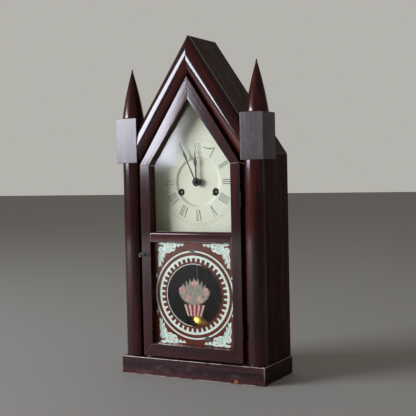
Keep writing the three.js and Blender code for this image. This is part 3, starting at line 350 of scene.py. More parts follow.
UPRIGHT, LEVEL, FROM_FRONT = (0, 0, 0), (0, 90, 0), (90, 0, 0)
LEANS_RIGHT, LEANS_LEFT = (0, SLOPE_LEAN, 0), (0, -SLOPE_LEAN, 0)
DOOR_WOOD = ("#1b0606", "#350e10", "#4d1817")
MOULDING_WOOD = ("#140303", "#300908", "#56160e")
SIDE_WOOD = ("#1c0905", "#33130b", "#5c1d0f")
ROOF_WOOD = ("#220e07", "#3f2013", "#61200f")
PLINTH_WOOD = ("#1a0a0c", "#32171a", "#4b2427")
BLOCK_WOOD = ("#180a08", "#2e1a17", "#4c3633")
STEEPLE_WOOD = ("#240905", "#3f120c", "#5c1f15")
FINISH = {
    "door": rosewood("rosewood_veneer_polished", *DOOR_WOOD, UPRIGHT, seed=0.3),
    "door_level": rosewood("rosewood_veneer_polished_level", *DOOR_WOOD, LEVEL, seed=0.5),
    "door_left_lean": rosewood("rosewood_veneer_polished_left", *DOOR_WOOD, LEANS_RIGHT, seed=0.9),
    "door_right_lean": rosewood("rosewood_veneer_polished_right", *DOOR_WOOD, LEANS_LEFT, seed=1.3),
    "moulding": rosewood("rosewood_moulding_polished", *MOULDING_WOOD, UPRIGHT, 1.0, 0.08),
    "gable_left": rosewood("rosewood_gable_polished_left", *MOULDING_WOOD, LEANS_RIGHT, 1.0, 0.08, seed=0.4),
    "gable_right": rosewood("rosewood_gable_polished_right", *MOULDING_WOOD, LEANS_LEFT, 1.0, 0.08, seed=0.8),
    "side": rosewood("rosewood_veneer_dull", *SIDE_WOOD, UPRIGHT, 0.1, 0.3, seed=0.7),
    "roof_left": rosewood("rosewood_veneer_dull_left", *ROOF_WOOD, LEANS_RIGHT, 0.1, 0.35, seed=1.4),
    "roof_right": rosewood("rosewood_veneer_dull_right", *ROOF_WOOD, LEANS_LEFT, 0.1, 0.35, seed=1.9),
    "block": rosewood("rosewood_end_block_worn", *BLOCK_WOOD, UPRIGHT, 1.0, 0.24, worn=0.22, seed=2.2),
    "steeple": rosewood("stained_turning_polished", *STEEPLE_WOOD, UPRIGHT, 0.8, 0.14, seed=0.2),
    "plinth": mark_plinth(rosewood("rosewood_veneer_worn", *PLINTH_WOOD, LEVEL, 0.8, 0.2, worn=0.3, seed=1.1)),
    "plinth_side": rosewood("rosewood_veneer_worn_side", *PLINTH_WOOD, FROM_FRONT, 0.2, 0.3, worn=0.1, seed=1.6),
    # Worn edges, whose pale stretches are also painted highlights along the arrises.
    "arris": worn_arris_painted_highlight("worn_arris_painted_highlight", "#3a2020", "#c9b2a6"),
    "dark_arris": worn_arris_painted_highlight("worn_arris_dark", "#1b0d0c", "#6a4a42", 0.5),
    "pine": bare_pine("bare_pine"),
    "brass": metal("rolled_brass", "#b98f48", "#6d5128", 0.32),
    "old_brass": metal("tarnished_brass", "#2b2216", "#15110d", 0.5, tarnish=0.9),
    "bob_brass": metal("spun_brass", "#e0b04a", "#8a6425", 0.22, tarnish=0.2),
    "steel": metal("ground_steel", "#9a9b9c", "#564b42", 0.3),
    "dull_steel": metal("winding_square_steel", "#4e4c49", "#2b2521", 0.4),
    "gong_steel": metal("blued_steel_wire", "#4b4f5a", "#33271f", 0.35),
    "black": black_paint("japan_black"),
    "hands": black_paint("japan_black_hands", 0.32),
    "dial": dial_enamel("painted_zinc"),
    "ink": flat_paint("dial_ink", "#0a0e10", "#2c302c", 260.0),
    # Paler ink for the hours from nine on: faded ink and painted reflection.
    "pale_ink": flat_paint("dial_ink_worn_and_painted_reflection", "#6d7266", "#c9c7ae", 140.0),
    "faint_ink": flat_paint("dial_ink_faded", "#a9a68d", "#e0dcc4", 120.0),
    "rubbed": flat_paint("dial_rubbed_metal", "#1c1c18", "#4a4636", 300.0, 0.6),
    "window": old_window_glass("old_window_glass"),
    "ground": flat_paint("tablet_ground_brown", "#6e2408", "#491505", 42.0),
    "stencil": flat_paint("tablet_stencil_white", "#eef6ec", "#d0dccf", 150.0),
    "vein": flat_paint("tablet_vein_green", "#7d8f86", "#a9b8ae", 240.0),
    "leaf_grey": flat_paint("tablet_leaf_grey", "#a89e92", "#6f675c", 240.0),
    "petal_pink": flat_paint("tablet_petal_pink", "#d8aaa0", "#9c6a62", 260.0),
    "stripe_red": flat_paint("tablet_stripe_red", "#9c2b30", "#6a1c20", 200.0),
    "stripe_pale": flat_paint("tablet_stripe_pale", "#d9bcae", "#b08f84", 220.0),
    "flaked": flat_paint("tablet_flaked", "#3f484a", "#70736e", 500.0, 0.7),
}


# ---- making meshes ---------------------------------------------------------------------------------
def smoothing_group():
    """A node group that shades smooth across every edge flatter than 32 degrees."""
    group = bpy.data.node_groups.new("smooth_across_flat_edges", "GeometryNodeTree")
    group.is_modifier = True
    group.interface.new_socket("Geometry", in_out="INPUT", socket_type="NodeSocketGeometry")
    group.interface.new_socket("Geometry", in_out="OUTPUT", socket_type="NodeSocketGeometry")
    source = add_node(group, "NodeGroupInput").outputs[0]
    angle = add_node(group, "GeometryNodeInputMeshEdgeAngle").outputs[0]
    flat = add_node(group, "FunctionNodeCompare", {"data_type": "FLOAT", "operation": "LESS_THAN"},
                    _0=angle, _1=math.radians(32)).outputs[0]
    faces = add_node(group, "GeometryNodeSetShadeSmooth", {"domain": "FACE"}, Geometry=source)
    edges = add_node(group, "GeometryNodeSetShadeSmooth", {"domain": "EDGE"}, Geometry=faces.outputs[0],
                     Shade_Smooth=flat)
    add_node(group, "NodeGroupOutput", Geometry=edges.outputs[0])
    return group


SMOOTHING = smoothing_group()


def dress(piece, finish, arris=None, bevel=0.0):
    """Gives a piece its finish, and where bevel (mm) is set, an eased edge with the worn arris on it, whose pale
    stretches are also painted highlights.
    """
    piece.data.materials.clear()
    piece.data.materials.append(FINISH[finish])
    piece.data.materials.append(FINISH[arris or finish])
    if "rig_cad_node" in piece:
        piece.modifiers.new("weld", "WELD").merge_threshold = 0.00001
        flatten = piece.modifiers.new("merge_flat_faces", "DECIMATE")
        flatten.decimate_type = "DISSOLVE"
        flatten.angle_limit = math.radians(1)
    if bevel:
        eased = piece.modifiers.new("eased_edges", "BEVEL")
        eased.width = bevel * MM
        eased.segments = 2
        eased.limit_method = "ANGLE"
        eased.angle_limit = math.radians(40)
        # The bevel faces take the second slot: worn arris with painted highlight.
        eased.material = 1
    piece.modifiers.new("smooth", "NODES").node_group = SMOOTHING
    if bevel:
        piece.modifiers.new("flat_faces_stay_flat", "WEIGHTED_NORMAL").keep_sharp = True


def make(name, body, vertices, faces, finish, stands_for=()):
    """A new piece from a mesh in the frame's metres, riding on its body."""
    mesh = bpy.data.meshes.new(name)
    mesh.from_pydata([tuple(v) for v in vertices], [], faces)
    mesh.validate()
    mesh.update()
    piece = bpy.data.objects.new(name, mesh)
    bpy.context.scene.collection.objects.link(piece)
    dress(piece, finish)
    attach(piece, body)
    if stands_for:
        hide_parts(*stands_for)


def prism_faces(n, flipped=False):
    """The faces of a prism between two outlines of n points, the second after the first."""
    faces = [tuple(range(n)), tuple(range(2 * n - 1, n - 1, -1))]
    faces += [(i, i + n, (i + 1) % n + n, (i + 1) % n) for i in range(n)]
    return [face[::-1] for face in faces] if flipped else faces


def lattice(rows, steps):
    """Four-sided faces between rings of points, each ring after the one before."""
    return [(row * steps + i, row * steps + (i + 1) % steps, (row + 1) * steps + (i + 1) % steps,
             (row + 1) * steps + i) for row in range(rows) for i in range(steps)]


class Solids:
    """Vertices and faces of several closed solids, gathered into one mesh. Strokes of paint lie one behind
    the other by a step (mm), so that no two share a face where they cross."""

    def __init__(self, step=0.0):
        self.vertices = []
        self.faces = []
        self.step = step
        self.strokes = 0

    def set_back(self):
        self.strokes += 1
        return self.step * (self.strokes % STROKE_LAYERS)

    def add(self, vertices, faces):
        start = len(self.vertices)
        self.vertices += vertices
        self.faces += [tuple(start + i for i in face) for face in faces]

    def prism(self, outline, near, far):
        """An outline in the front view, from the depth near back to the depth far."""
        behind = self.set_back()
        self.add([at(x, depth + behind, z) for depth in (near, far) for x, z in outline],
                 prism_faces(len(outline)))

    def strip(self, left, right, near, far, closed=False):
        """A flat ribbon between two lines of points in the front view, closed into a ring if asked."""
        n = len(left)
        behind = self.set_back()
        points = [at(x, depth + behind, z) for line in (left, right) for depth in (near, far) for x, z in line]
        left_near, left_far, right_near, right_far = 0, n, 2 * n, 3 * n
        faces = []
        for i in range(n if closed else n - 1):
            j = (i + 1) % n
            faces += [(left_near + i, left_near + j, right_near + j, right_near + i),
                      (left_far + j, left_far + i, right_far + i, right_far + j),
                      (left_near + j, left_near + i, left_far + i, left_far + j),
                      (right_near + i, right_near + j, right_far + j, right_far + i)]
        if not closed:
            end = n - 1
            faces += [(left_near, right_near, right_far, left_far),
                      (left_near + end, left_far + end, right_far + end, right_near + end)]
        self.add(points, faces)

    def stroke(self, path, widths, near, far):
        """A brush stroke along a path in the front view, with its own width at each point."""
        left, right = [], []
        for i, (x, z) in enumerate(path):
            ahead, behind = path[min(i + 1, len(path) - 1)], path[max(i - 1, 0)]
            run = Vector((ahead[0] - behind[0], ahead[1] - behind[1])).normalized()
            half = widths[i] / 2
            left.append((x - run.y * half, z + run.x * half))
            right.append((x + run.y * half, z - run.x * half))
        self.strip(left, right, near, far)


def polar(radius, degrees, z=0.0, x=0.0):
    """A point at a radius and an angle from the right-hand side, in the front view."""
    return x + radius * math.cos(math.radians(degrees)), z + radius * math.sin(math.radians(degrees))


def ring_points(radius, z, steps=160, x=0.0):
    """Points of a circle in the front view."""
    return [polar(radius, 360 * i / steps, z, x) for i in range(steps)]


def turned(profile, centre_x, centre_depth):
    """Vertices and faces of a piece turned about a vertical line, from (radius, z) pairs going up."""
    steps, rows = 64, len(profile)
    angles = [2 * math.pi * i / steps for i in range(steps)]
    vertices = [at(centre_x + r * math.cos(a), centre_depth + r * math.sin(a), z)
                for r, z in profile for a in angles]
    ends = [tuple(range(steps - 1, -1, -1)), tuple(range((rows - 1) * steps, rows * steps))]
    return vertices, lattice(rows - 1, steps) + ends


# ---- the case --------------------------------------------------------------------------------------
def half_round(middle, half, springing, crest):
    """Points of a half-round face in (across, depth), from its left foot round to its right foot."""
    steps = 36
    angles = [math.pi * i / steps for i in range(steps + 1)]
    return [(middle - half * math.cos(a), springing - (springing - crest) * math.sin(a)) for a in angles]


def build_columns():
    c, back = COLUMN, CASE_FRONT - GAP
    section = [(c["x"] - c["half"], back), *half_round(c["x"], c["half"], back - c["stand"], c["crest"]),
               (c["x"] + c["half"], back)]
    for side, sign in SIDES:
        vertices = [at(sign * x, depth, z) for z in (c["bottom"], c["top"]) for x, depth in section]
        make(f"{side}_column_polished", "case", vertices,
             prism_faces(len(section), sign > 0), "moulding", stands_for=(f"{side}_column",))


def build_gables():
    """Each gable moulding is a half-round face on a flat rail, mitred at the peak and run down the slope."""
    slope = (PEAK - EAVE) / CASE_HALF
    run = Vector((1, 0, -slope)).normalized()
    inward = Vector((-slope, 0, -1)).normalized()
    g, face_back = GABLE, CASE_FRONT - GAP
    face = [(0, face_back), *half_round(g["width"] / 2, g["width"] / 2, face_back - g["stand"], g["crest"]),
            (g["width"], face_back)]
    rail = [(g["under"], face_back), (g["frame"], face_back), (g["frame"], g["back"]), (g["under"], g["back"])]
    parts = ((face, g["end"], 0), (rail, CASE_HALF - BOARD - GAP, STILE_TOP + GAP))
    for side, sign in SIDES:
        solids = Solids()
        for section, end, lowest in parts:
            vertices = []
            for limit in (GAP / 2, end):
                for across, depth in section:
                    foot = Vector((0, 0, PEAK)) + inward * across
                    place = foot + run * ((limit - foot.x) / run.x)
                    if place.z < lowest:
                        place = foot + run * ((lowest - foot.z) / run.z)
                    vertices.append(at(sign * place.x, depth, place.z))
            solids.add(vertices, prism_faces(len(section), sign > 0))
        make(f"{side}_gable_polished", "case", solids.vertices, solids.faces,
             f"gable_{side}", stands_for=(f"{side}_gable_moulding",))


def build_steeples():
    """Turned spires: a short collar, then a taper that swells slightly, to a blunt point."""
    s = STEEPLE
    rim = s["foot"] + s["collar"]
    profile = [(s["radius"] - s["ease"], s["foot"]), (s["radius"], s["foot"] + s["ease"]), (s["radius"], rim)]
    rows = 16
    for i in range(1, rows):
        rise = i / rows
        taper = s["radius"] * (1 - rise) * (1 + s["swell"] * rise)
        profile.append((max(taper, s["tip"]), rim + (s["top"] - rim) * rise))
    profile += [(s["tip"] * 0.9, s["top"] - 0.8), (s["tip"] * 0.5, s["top"] - 0.2), (0.15, s["top"])]
    for side, sign in SIDES:
        vertices, faces = turned(profile, sign * s["x"], s["depth"])
        make(f"{side}_steeple_turned", "case", vertices, faces, "steeple",
             stands_for=(f"{side}_steeple",))


def dress_case():
    """Finishes, arrises and eased edges (mm) on the solids that keep their own shape."""
    plan = {
        "plinth_front": ("plinth", "arris", 0.9), "bottom_board": ("pine", None, 0.4),
        "back_board": ("pine", None, 0.4), "door_bottom_rail": ("door_level", "dark_arris", 0.35),
        "door_mid_rail": ("door_level", "arris", 0.4), "door_latch": ("black", None, 0.2),
        "gong_base": ("black", None, 0.4), "gong_coil": ("gong_steel", None, 0),
        "pendulum_bob": ("bob_brass", None, 0),
    }
    for side, _ in SIDES:
        plan |= {
            f"{side}_plinth_rail": ("plinth_side", "arris", 0.9),
            f"{side}_side_board": ("side", "dark_arris", 0.5),
            f"{side}_roof_board": (f"roof_{side}", "dark_arris", 0.5),
            f"{side}_front_stile": ("moulding", None, 0.3),
            f"{side}_capital_block": ("block", "dark_arris", 0.6),
            f"door_{side}_stile": ("door", "dark_arris", 0.35),
            f"door_{side}_slope": (f"door_{side}_lean", "dark_arris", 0.35),
        }
    for height in ("lower", "upper"):
        plan |= {f"{height}_hinge_{leaf}_leaf": ("old_brass", None, 0) for leaf in ("case", "door")}
        plan[f"{height}_glass"] = ("window", None, 0)
    plan |= {name: ("hands", None, 0) for name in ("minute_hand", "hour_hand", "hand_nut")}
    plan |= {f"{train}_winding_arbor": ("dull_steel", None, 0) for train in ("time", "strike")}
    steel = ("centre_arbor", "time_mainspring", "strike_mainspring", "verge", "pendulum_rod", "hammer")
    for name, node in frame["nodes"].items():
        if not node.hide_render:
            dress(node, *plan.get(name, ("steel" if name in steel else "brass", None, 0)))


# ---- the dial --------------------------------------------------------------------------------------
ROMAN = ("I", "II", "III", "IIII", "V", "VI", "VII", "VIII", "IX", "X", "XI", "XII")
STROKES = {  # each letter: its width in mm, and (foot, head, width) of every stroke as shares of that width
    "I": (3.1, [(0.5, 0.5, 1.0)]),
    "V": (5.8, [(0.5, 0.06, 0.95), (0.5, 0.94, 0.45)]),
    "X": (5.8, [(0.92, 0.08, 0.95), (0.08, 0.92, 0.45)]),
}
# From this hour on the numerals are pale: partly faded ink, partly a painted reflection of the glass over the
# dial's upper left.
PALE_HOURS_FROM = 9  # the first of the hours that have faded
CHIP_PATH = ((9.4, 338.4), (13, 337), (17, 335.6), (21, 335.2), (25, 335.9), (30, 336.4))
CHIP_WIDTHS = (0.5, 1.1, 0.8, 1.4, 0.9, 0.3)


def dial_reach(degrees):
    """How far the sheet runs from its middle: down to its foot, out to its sides, up to its sloping edges."""
    c, s = math.cos(math.radians(degrees)), math.sin(math.radians(degrees))
    lean = math.radians(SLOPE_LEAN)
    walls = [(abs(c), DIAL["half"]), (-s, DIAL["z"] - DIAL["bottom"]),
             (abs(c) * math.cos(lean) + s * math.sin(lean), DIAL["to_slope"])]
    return min(far / part for part, far in walls if part > 1e-6)


def dial_depth(radius):
    """The front of the sheet at a radius: flat, then a smooth slope down into the pressed middle."""
    share = min(1, max(0, (DISH["outer"] - radius) / (DISH["outer"] - DISH["inner"])))
    return DIAL["front"] + DISH["sunk"] * share * share * (3 - 2 * share)


def build_dial():
    """A zinc sheet with its middle pressed in, and holes for the hands and the two winding squares. Faces
    inside a winding hole are dropped, and the points round it are drawn out onto its circle."""
    turns, rings = 240, 96

    def sheet_point(row, degrees):
        return polar(HAND_HOLE + (dial_reach(degrees) - HAND_HOLE) * row / rings, degrees, DIAL["z"])

    points = [sheet_point(row, 360 * i / turns) for row in range(rings + 1) for i in range(turns)]
    cells = lattice(rings, turns)
    for hole_x, hole_z, hole in HOLES[1:]:
        kept = []
        for cell in cells:
            off_x = sum(points[i][0] for i in cell) / 4 - hole_x
            off_z = sum(points[i][1] for i in cell) / 4 - hole_z
            if math.hypot(off_x, off_z) > hole:
                kept.append(cell)
        dropped = set(cells) - set(kept)
        rim = {i for cell in dropped for i in cell} & {i for cell in kept for i in cell}
        for i in rim:
            dx, dz = points[i][0] - hole_x, points[i][1] - hole_z
            stretch = hole / math.hypot(dx, dz)
            points[i] = (hole_x + dx * stretch, hole_z + dz * stretch)
        cells = kept
    used = sorted({i for cell in cells for i in cell})
    place = {old: new for new, old in enumerate(used)}
    cells = [tuple(place[i] for i in cell) for cell in cells]
    flat = [points[i] for i in used]
    count = len(flat)

    def surface(back):
        return [at(x, dial_depth(math.hypot(x, z - DIAL["z"])) + back, z) for x, z in flat]

    edges = dict.fromkeys((cell[i], cell[(i + 1) % 4]) for cell in cells for i in range(4))
    open_edges = [edge for edge in edges if edge[::-1] not in edges]
    faces = cells + [tuple(i + count for i in cell[::-1]) for cell in cells]
    faces += [(b, a, a + count, b + count) for a, b in open_edges]
    make("dial_sheet", "case", surface(0) + surface(DIAL["thick"]), faces, "dial",
         stands_for=("dial_plate",))


def build_numerals():
    """Roman hours with their feet to the middle, thick and thin strokes and hairline serifs. The hours from
    nine to twelve are drawn thinner and paler: partly faded ink, partly a painted reflection of the glass
    over the dial's upper left."""
    inks = {"ink": Solids(STROKE_STEP), "pale_ink": Solids(STROKE_STEP)}
    near, far = DIAL["front"] - PAINT, DIAL["front"]
    inner, outer = NUMERALS["inner"], NUMERALS["outer"]
    for hour, text in enumerate(ROMAN, start=1):
        # Hours from nine on: paler, thinner ink, partly painted reflection.
        ink, thin = (inks["pale_ink"], 0.75) if hour >= PALE_HOURS_FROM else (inks["ink"], 1.0)
        turn = math.radians(90 - 30 * hour)
        out = Vector((math.cos(turn), math.sin(turn)))
        right = Vector((out.y, -out.x))
        width = sum(STROKES[letter][0] for letter in text)
        start = -width / 2

        def spot(across, radius):
            place = right * across + out * radius
            return place.x, place.y + DIAL["z"]

        for letter in text:
            letter_width, strokes = STROKES[letter]
            for foot, head, stroke_width in strokes:
                path = [spot(start + foot * letter_width, inner), spot(start + head * letter_width, outer)]
                ink.stroke(path, [stroke_width * thin] * 2, near, far)
            start += letter_width
        for radius in (inner, outer):
            ink.stroke([spot(-width / 2, radius), spot(width / 2, radius)], [NUMERALS["hairline"] * thin] * 2,
                       near, far)
    make("dial_numerals", "case", inks["ink"].vertices, inks["ink"].faces, "ink")
    make("dial_numerals_faded_and_painted_reflection", "case", inks["pale_ink"].vertices, inks["pale_ink"].faces, "pale_ink")

    faint = Solids(STROKE_STEP)
    half = MINUTE_TRACK["line"] / 2
    for radius in MINUTE_TRACK["rings"]:
        faint.strip(ring_points(radius + half, DIAL["z"]), ring_points(radius - half, DIAL["z"]), near, far, True)
    for minute in range(60):
        path = [polar(radius, 6 * minute, DIAL["z"]) for radius in MINUTE_TRACK["rings"]]
        faint.stroke(path, [MINUTE_TRACK["tick"]] * 2, near, far)
    make("dial_minute_track", "case", faint.vertices, faint.faces, "faint_ink")


def build_dial_wear():
    """The paint is rubbed to bare metal round the right winding hole, and chipped beside the first hour.
    The rims are laid out flat, then set onto the sheet, which slopes there."""
    wear = Solids()
    chance = random.Random(4)
    steps, (hole_z, hole) = 48, (WINDING["z"], WINDING["radius"])
    for sign, reach in ((-1, 0.5), (1, 2.2)):
        hole_x = sign * WINDING["x"]
        ragged = [polar(hole + 0.35 + reach * chance.random() ** 1.5, 360 * i / steps, hole_z, hole_x)
                  for i in range(steps)]
        start = len(wear.vertices)
        wear.strip(ragged, ring_points(hole + 0.02, hole_z, steps, hole_x), 0, 1, True)
        for spot in wear.vertices[start:]:
            radius = math.hypot(spot.x, spot.z - DIAL["z"] * MM) / MM
            lifted = PAINT if spot.y < at(0, 0.5, 0).y else 0
            spot.y = at(0, dial_depth(radius) - lifted, 0).y
    make("dial_rubbed_rims", "case", wear.vertices, wear.faces, "rubbed")
    chip = Solids()
    chip.stroke(CHIP_PATH, CHIP_WIDTHS, DIAL["front"] - PAINT, DIAL["front"])
    make("dial_chip", "case", chip.vertices, chip.faces, "ink")


# ---- the painted tablet ----------------------------------------------------------------------------
# The corner ornament, in mm inward and down from CORNER.
SCROLLS = ((20, 9, 8.0), (31, 6.0, 3.4), (38, 5.0, 2.5), (44.5, 4.4, 1.9), (8, 12, 5.0))  # and a radius
LOBES = (  # root, tip, width, bend
    ((16, 4), (4, 3.2), 4.2, 0.8), ((22, 3), (34, 2.6), 2.2, -0.6), ((33, 3.2), (48, 3), 1.8, 0.6),
    ((24, 12), (33, 10), 3.4, 1.4), ((12, 12), (4, 22), 6.5, -1.6), ((16, 13), (13, 24), 5.0, 1.6),
    ((7, 14), (3.6, 30), 5.0, -0.4), ((10, 20), (11, 31), 4.4, 1.4), ((6, 26), (3.4, 38), 3.6, -0.4),
    ((7, 30), (8, 37), 2.4, 0.8))
VEINS = (((11, 13), (5, 23)), ((15, 14), (13, 22)), ((6, 18), (4, 29)), ((9, 12), (5, 9)), ((9, 22), (10.6, 29)))
FLAKES = ((-2, 64.2, 4.2), (21, -62.5, 5.0), (22, -75, 4.5))  # x, height from the middle, size
FLOWERS = ((-20, 7), (1, 17), (20, 6), (-10, -5), (10, -6))  # x, height from the middle
BASKET = {"stripes": 9, "rim": 17.5, "base": 11.5, "top": -14, "bottom": -31}


def make_on_glass(name, solids, finish):
    """A layer of paint on the lower glass, which swings with the door."""
    make(name, "door", solids.vertices, solids.faces, finish)


def build_tablet():
    """The lower glass is painted on its back: white stencilling first, then a brown ground behind it."""
    z, back = TABLET["z"], TABLET["back"]
    white_near = back + COATS["white"]
    white_far = white_near + PAINT
    ground_near = white_far + COATS["ground"]
    half, bottom, top = TABLET["half"], TABLET["bottom"], TABLET["top"]
    steps = 192

    def edge_point(degrees):
        """Where a ray from the middle meets the edge of the pane."""
        c, s = math.cos(math.radians(degrees)), math.sin(math.radians(degrees))
        reach = min(half / abs(c) if abs(c) > 1e-9 else 1e9,
                    ((top - z) if s > 0 else (z - bottom)) / abs(s) if abs(s) > 1e-9 else 1e9)
        return reach * c, z + reach * s

    corners = [math.degrees(math.atan2(v, u)) % 360 for u in (-half, half) for v in (top - z, bottom - z)]
    angles = sorted([360 * i / steps for i in range(steps)] + corners)
    ground = Solids()
    ground.strip([edge_point(a) for a in angles], [polar(RINGS["fine"][0], a, z) for a in angles],
                 ground_near, ground_near + PAINT, True)
    make_on_glass("tablet_ground", ground, "ground")

    white = Solids(STROKE_STEP)
    line_inner, line_outer = RINGS["line"]
    white.strip(ring_points(line_outer, z), ring_points(line_inner, z), white_near, white_far, True)
    fine_inner, fine_outer = RINGS["fine"]
    left_side = [75 + 190 * i / 90 for i in range(91)]  # the fine line has worn away on the right
    white.strip([polar(fine_outer, a, z) for a in left_side], [polar(fine_inner, a, z) for a in left_side],
                white_near, white_far)
    per_bar = 14
    around = RINGS["bar_count"] * per_bar
    inner_edge = []
    for i in range(around):
        share = (i % per_bar) / per_bar
        bar = max(0.0, 1 - (abs(share - 0.5) / 0.2) ** 4) ** 0.5 if abs(share - 0.5) < 0.2 else 0.0
        scallop = RINGS["scallop"] + 1.3 * abs(math.cos(math.pi * share)) ** 0.6
        inner_edge.append(polar(scallop - (scallop - RINGS["bars"]) * bar, 360 * i / around, z))
    white.strip(ring_points(RINGS["band"], z, around), inner_edge, white_near, white_far, True)
    dot = SIDE_DOT
    for sign_x in (-1, 1):
        for sign_z in (-1, 1):
            corner_scroll(white, sign_x, sign_z, white_near, white_far)
        for height in (-dot["height"], dot["height"]):
            dot_x, dot_z = sign_x * dot["x"], z + height
            white.prism(ring_points(dot["radius"], dot_z, 18, dot_x), white_near, white_far)
            left, right = ([(dot_x + edge, dot_z + end) for end in (-dot["bar"], dot["bar"])]
                           for edge in (-dot["bar_half"], dot["bar_half"]))
            white.strip(left, right, white_near, white_far)
    make_on_glass("tablet_stencilling", white, "stencil")
    build_leaf_veins(*(back + depth for depth in COATS["veins"]))

    flakes = Solids()
    chance = random.Random(11)
    for x, height, size in FLAKES:
        blot = [polar(size * (0.7 + 0.45 * chance.random()), 360 * i / 18, z + height, x) for i in range(18)]
        flakes.prism(blot, *(back + depth for depth in COATS["flakes"]))
    make_on_glass("tablet_flakes", flakes, "flaked")
    build_bouquet(z, white_near, white_far)


def curl(start, heading, length, bend):
    """A path that leaves start at a heading (degrees) and bends ever more tightly."""
    steps = 22
    x, z = start
    path = [(x, z)]
    for i in range(steps):
        heading += bend * (i + 1) / steps * 2 / steps
        x += length / steps * math.cos(math.radians(heading))
        z += length / steps * math.sin(math.radians(heading))
        path.append((x, z))
    return path


def corner_place(sign_x, sign_z):
    """The function that takes a point of the corner ornament to one of the pane's corners."""
    corner_z = (TABLET["top"] - TABLET["z"]) if sign_z > 0 else (TABLET["z"] - TABLET["bottom"])

    def place(inward, down):
        return (sign_x * (TABLET["half"] - CORNER["inward"] - inward),
                TABLET["z"] + sign_z * (corner_z - CORNER["down"] - down))

    return place


def leaf(solids, place, root, tip, width, bend, near, far):
    """A filled leaf lobe from root to tip, bulging to one side, with place() setting it into its corner."""
    steps = 14
    run = Vector((tip[0] - root[0], tip[1] - root[1]))
    across = Vector((-run.y, run.x)).normalized()
    middle = [Vector(root) + run * (i / steps) + across * bend * math.sin(math.pi * i / steps)
              for i in range(steps + 1)]
    half = [width / 2 * math.sin(math.pi * min(1, 0.1 + 0.9 * i / steps)) ** 0.6 + 0.15 for i in range(steps + 1)]
    one = [place(*(spot + across * wide)) for spot, wide in zip(middle, half)]
    other = [place(*(spot - across * wide)) for spot, wide in zip(middle, half)]
    solids.strip(one, other, near, far)


def corner_scroll(white, sign_x, sign_z, near, far):
    """A corner of acanthus: a scroll ball near the corner, small curls along the top and lobed leaves down
    the side."""
    place = corner_place(sign_x, sign_z)
    for inward, down, radius in SCROLLS:
        white.prism([place(*polar(radius, a, down, inward)) for a in range(0, 360, 15)], near, far)
    for root, tip, width, bend in LOBES:
        leaf(white, place, root, tip, width, bend, near, far)


def build_leaf_veins(near, far):
    """Grey-green veins and the eye of each large scroll, painted first so that they show before the white."""
    veins = Solids(STROKE_STEP)
    eye_inward, eye_down, _ = SCROLLS[0]
    for sign_x in (-1, 1):
        for sign_z in (-1, 1):
            place = corner_place(sign_x, sign_z)
            spiral = [place(*polar(0.8 + 4.4 * t, 500 * t, eye_down, eye_inward))
                      for t in (i / 40 for i in range(41))]
            veins.stroke(spiral, [0.8] * 41, near, far)
            for root, tip in VEINS:
                middle = place((root[0] + tip[0]) / 2 + 0.5, (root[1] + tip[1]) / 2)
                veins.stroke([place(*root), middle, place(*tip)], [0.8, 0.7, 0.3], near, far)
    make_on_glass("tablet_leaf_veins", veins, "vein")


def build_bouquet(z, near, far):
    """The middle of the tablet: a striped basket of leaves and simple five-petalled flowers. Flowers and
    basket are painted before the leaves, so they show in front."""
    front_near, front_far = (near - ahead for ahead in COATS["front"])
    leaves = Solids(STROKE_STEP)
    for heading in range(25, 156, 13):
        length = 41 - 8 * abs(heading - 90) / 68
        path = curl((0, z + BASKET["top"]), heading, length, (90 - heading) * 0.5)
        n = len(path) - 1
        leaves.stroke(path, [max(0.4, 7.4 * math.sin(math.pi * i / n) ** 0.8) for i in range(n + 1)], near, far)
    make_on_glass("tablet_leaves", leaves, "leaf_grey")
    petals = Solids(STROKE_STEP)
    for x, height in FLOWERS:
        for i in range(5):
            petal_x, petal_z = polar(3.3, 72 * i + 18, z + height, x)
            petals.prism(ring_points(2.4, petal_z, 16, petal_x), front_near, front_far)
    make_on_glass("tablet_petals", petals, "petal_pink")
    white, red = Solids(), Solids()
    b = BASKET
    for i in range(b["stripes"]):
        left, right = (-1 + 2 * edge / b["stripes"] for edge in (i, i + 1))
        outline = [(b["base"] * left, z + b["bottom"]), (b["base"] * right, z + b["bottom"]),
                   (b["rim"] * right, z + b["top"]), (b["rim"] * left, z + b["top"])]
        (red if i % 2 else white).prism(outline, front_near, front_far)
    make_on_glass("tablet_basket_pale", white, "stripe_pale")
    make_on_glass("tablet_basket_red", red, "stripe_red")


# ---- the studio ------------------------------------------------------------------------------------
def build_camera():
    """The camera stands where the photograph was taken from."""
    a, e, roll = (math.radians(CAMERA[key]) for key in ("azimuth", "elevation", "roll"))
    ahead = Vector((-math.sin(a) * math.cos(e), math.cos(a) * math.cos(e), -math.sin(e)))
    right = Vector((math.cos(a), math.sin(a), 0))
    up = right.cross(ahead)
    x_axis = right * math.cos(roll) + up * math.sin(roll)
    y_axis = up * math.cos(roll) - right * math.sin(roll)
    camera = bpy.data.objects.new("camera", bpy.data.cameras.new("camera"))
    bpy.context.scene.collection.objects.link(camera)
    camera.data.sensor_width = SENSOR
    camera.data.lens = SENSOR * FOCAL_PIXELS / PHOTO_WIDTH
    basis = Matrix((x_axis, y_axis, -ahead)).transposed().to_4x4()
    camera.matrix_world = Matrix.Translation(Vector(CAMERA["place"]) * MM) @ basis
    bpy.context.scene.camera = camera


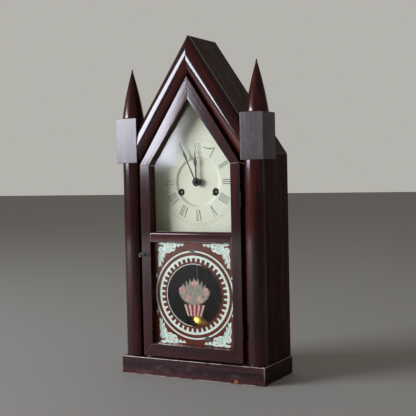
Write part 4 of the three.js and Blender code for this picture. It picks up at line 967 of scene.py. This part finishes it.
def build_window():
    """One wide soft box to the left, as a window would stand, turned to the middle of the object."""
    azimuth, elevation = math.radians(WINDOW["azimuth"]), math.radians(WINDOW["elevation"])
    direction = Vector((-math.sin(azimuth) * math.cos(elevation), -math.cos(azimuth) * math.cos(elevation),
                        math.sin(elevation)))
    middle = Vector(WINDOW["aim"])
    place = middle + direction * WINDOW["away"]
    data = bpy.data.lights.new("window_box", "AREA")
    data.shape = "RECTANGLE"
    data.size, data.size_y = WINDOW["size"]
    data.energy = WINDOW["watts"]
    data.color = linear(WINDOW["colour"])[:3]
    lamp = bpy.data.objects.new("window_box", data)
    lamp.location = place
    lamp.rotation_euler = (middle - place).to_track_quat("-Z", "Y").to_euler()
    lamp.visible_camera = False
    bpy.context.scene.collection.objects.link(lamp)


def build_surround():
    """A plain wall colour behind the object, and a dimmer room on the side that it faces."""
    world = bpy.data.worlds.new("surround")
    world.use_nodes = True
    tree = world.node_tree
    tree.nodes.clear()
    ray = add_node(tree, "ShaderNodeTexCoord").outputs["Generated"]
    behind = vector(tree, "DOT_PRODUCT", ray, ROOM["behind"])
    share = span(tree, behind, SMOOTH, From_Min=0.55, From_Max=0.88)
    colour = blend_colour(tree, share, linear(ROOM["dim"]), linear(ROOM["wall"]))
    sky = add_node(tree, "ShaderNodeBackground", Color=colour, Strength=1.0)
    add_node(tree, "ShaderNodeOutputWorld", Surface=sky.outputs[0])
    bpy.context.scene.world = world


def build_studio():
    """A pale floor, the surround and the lamp."""
    mesh = bpy.data.meshes.new("floor")
    corners = [(x * FLOOR_REACH, y * FLOOR_REACH, 0) for x, y in ((-1, -1), (1, -1), (1, 1), (-1, 1))]
    mesh.from_pydata(corners, [], [(0, 1, 2, 3)])
    floor = bpy.data.objects.new("floor", mesh)
    bpy.context.scene.collection.objects.link(floor)
    material, tree, shader, _ = new_material("pale_floor")
    connect(tree, shader, Base_Color=linear("#b6b3ac"), Roughness=0.8, Specular_IOR_Level=0.25)
    mesh.materials.append(material)
    build_surround()
    build_window()
    bpy.context.scene.view_settings.view_transform = "Standard"


build_camera()
build_columns()
build_gables()
build_steeples()
dress_case()
build_dial()
build_numerals()
build_dial_wear()
build_tablet()
build_studio()
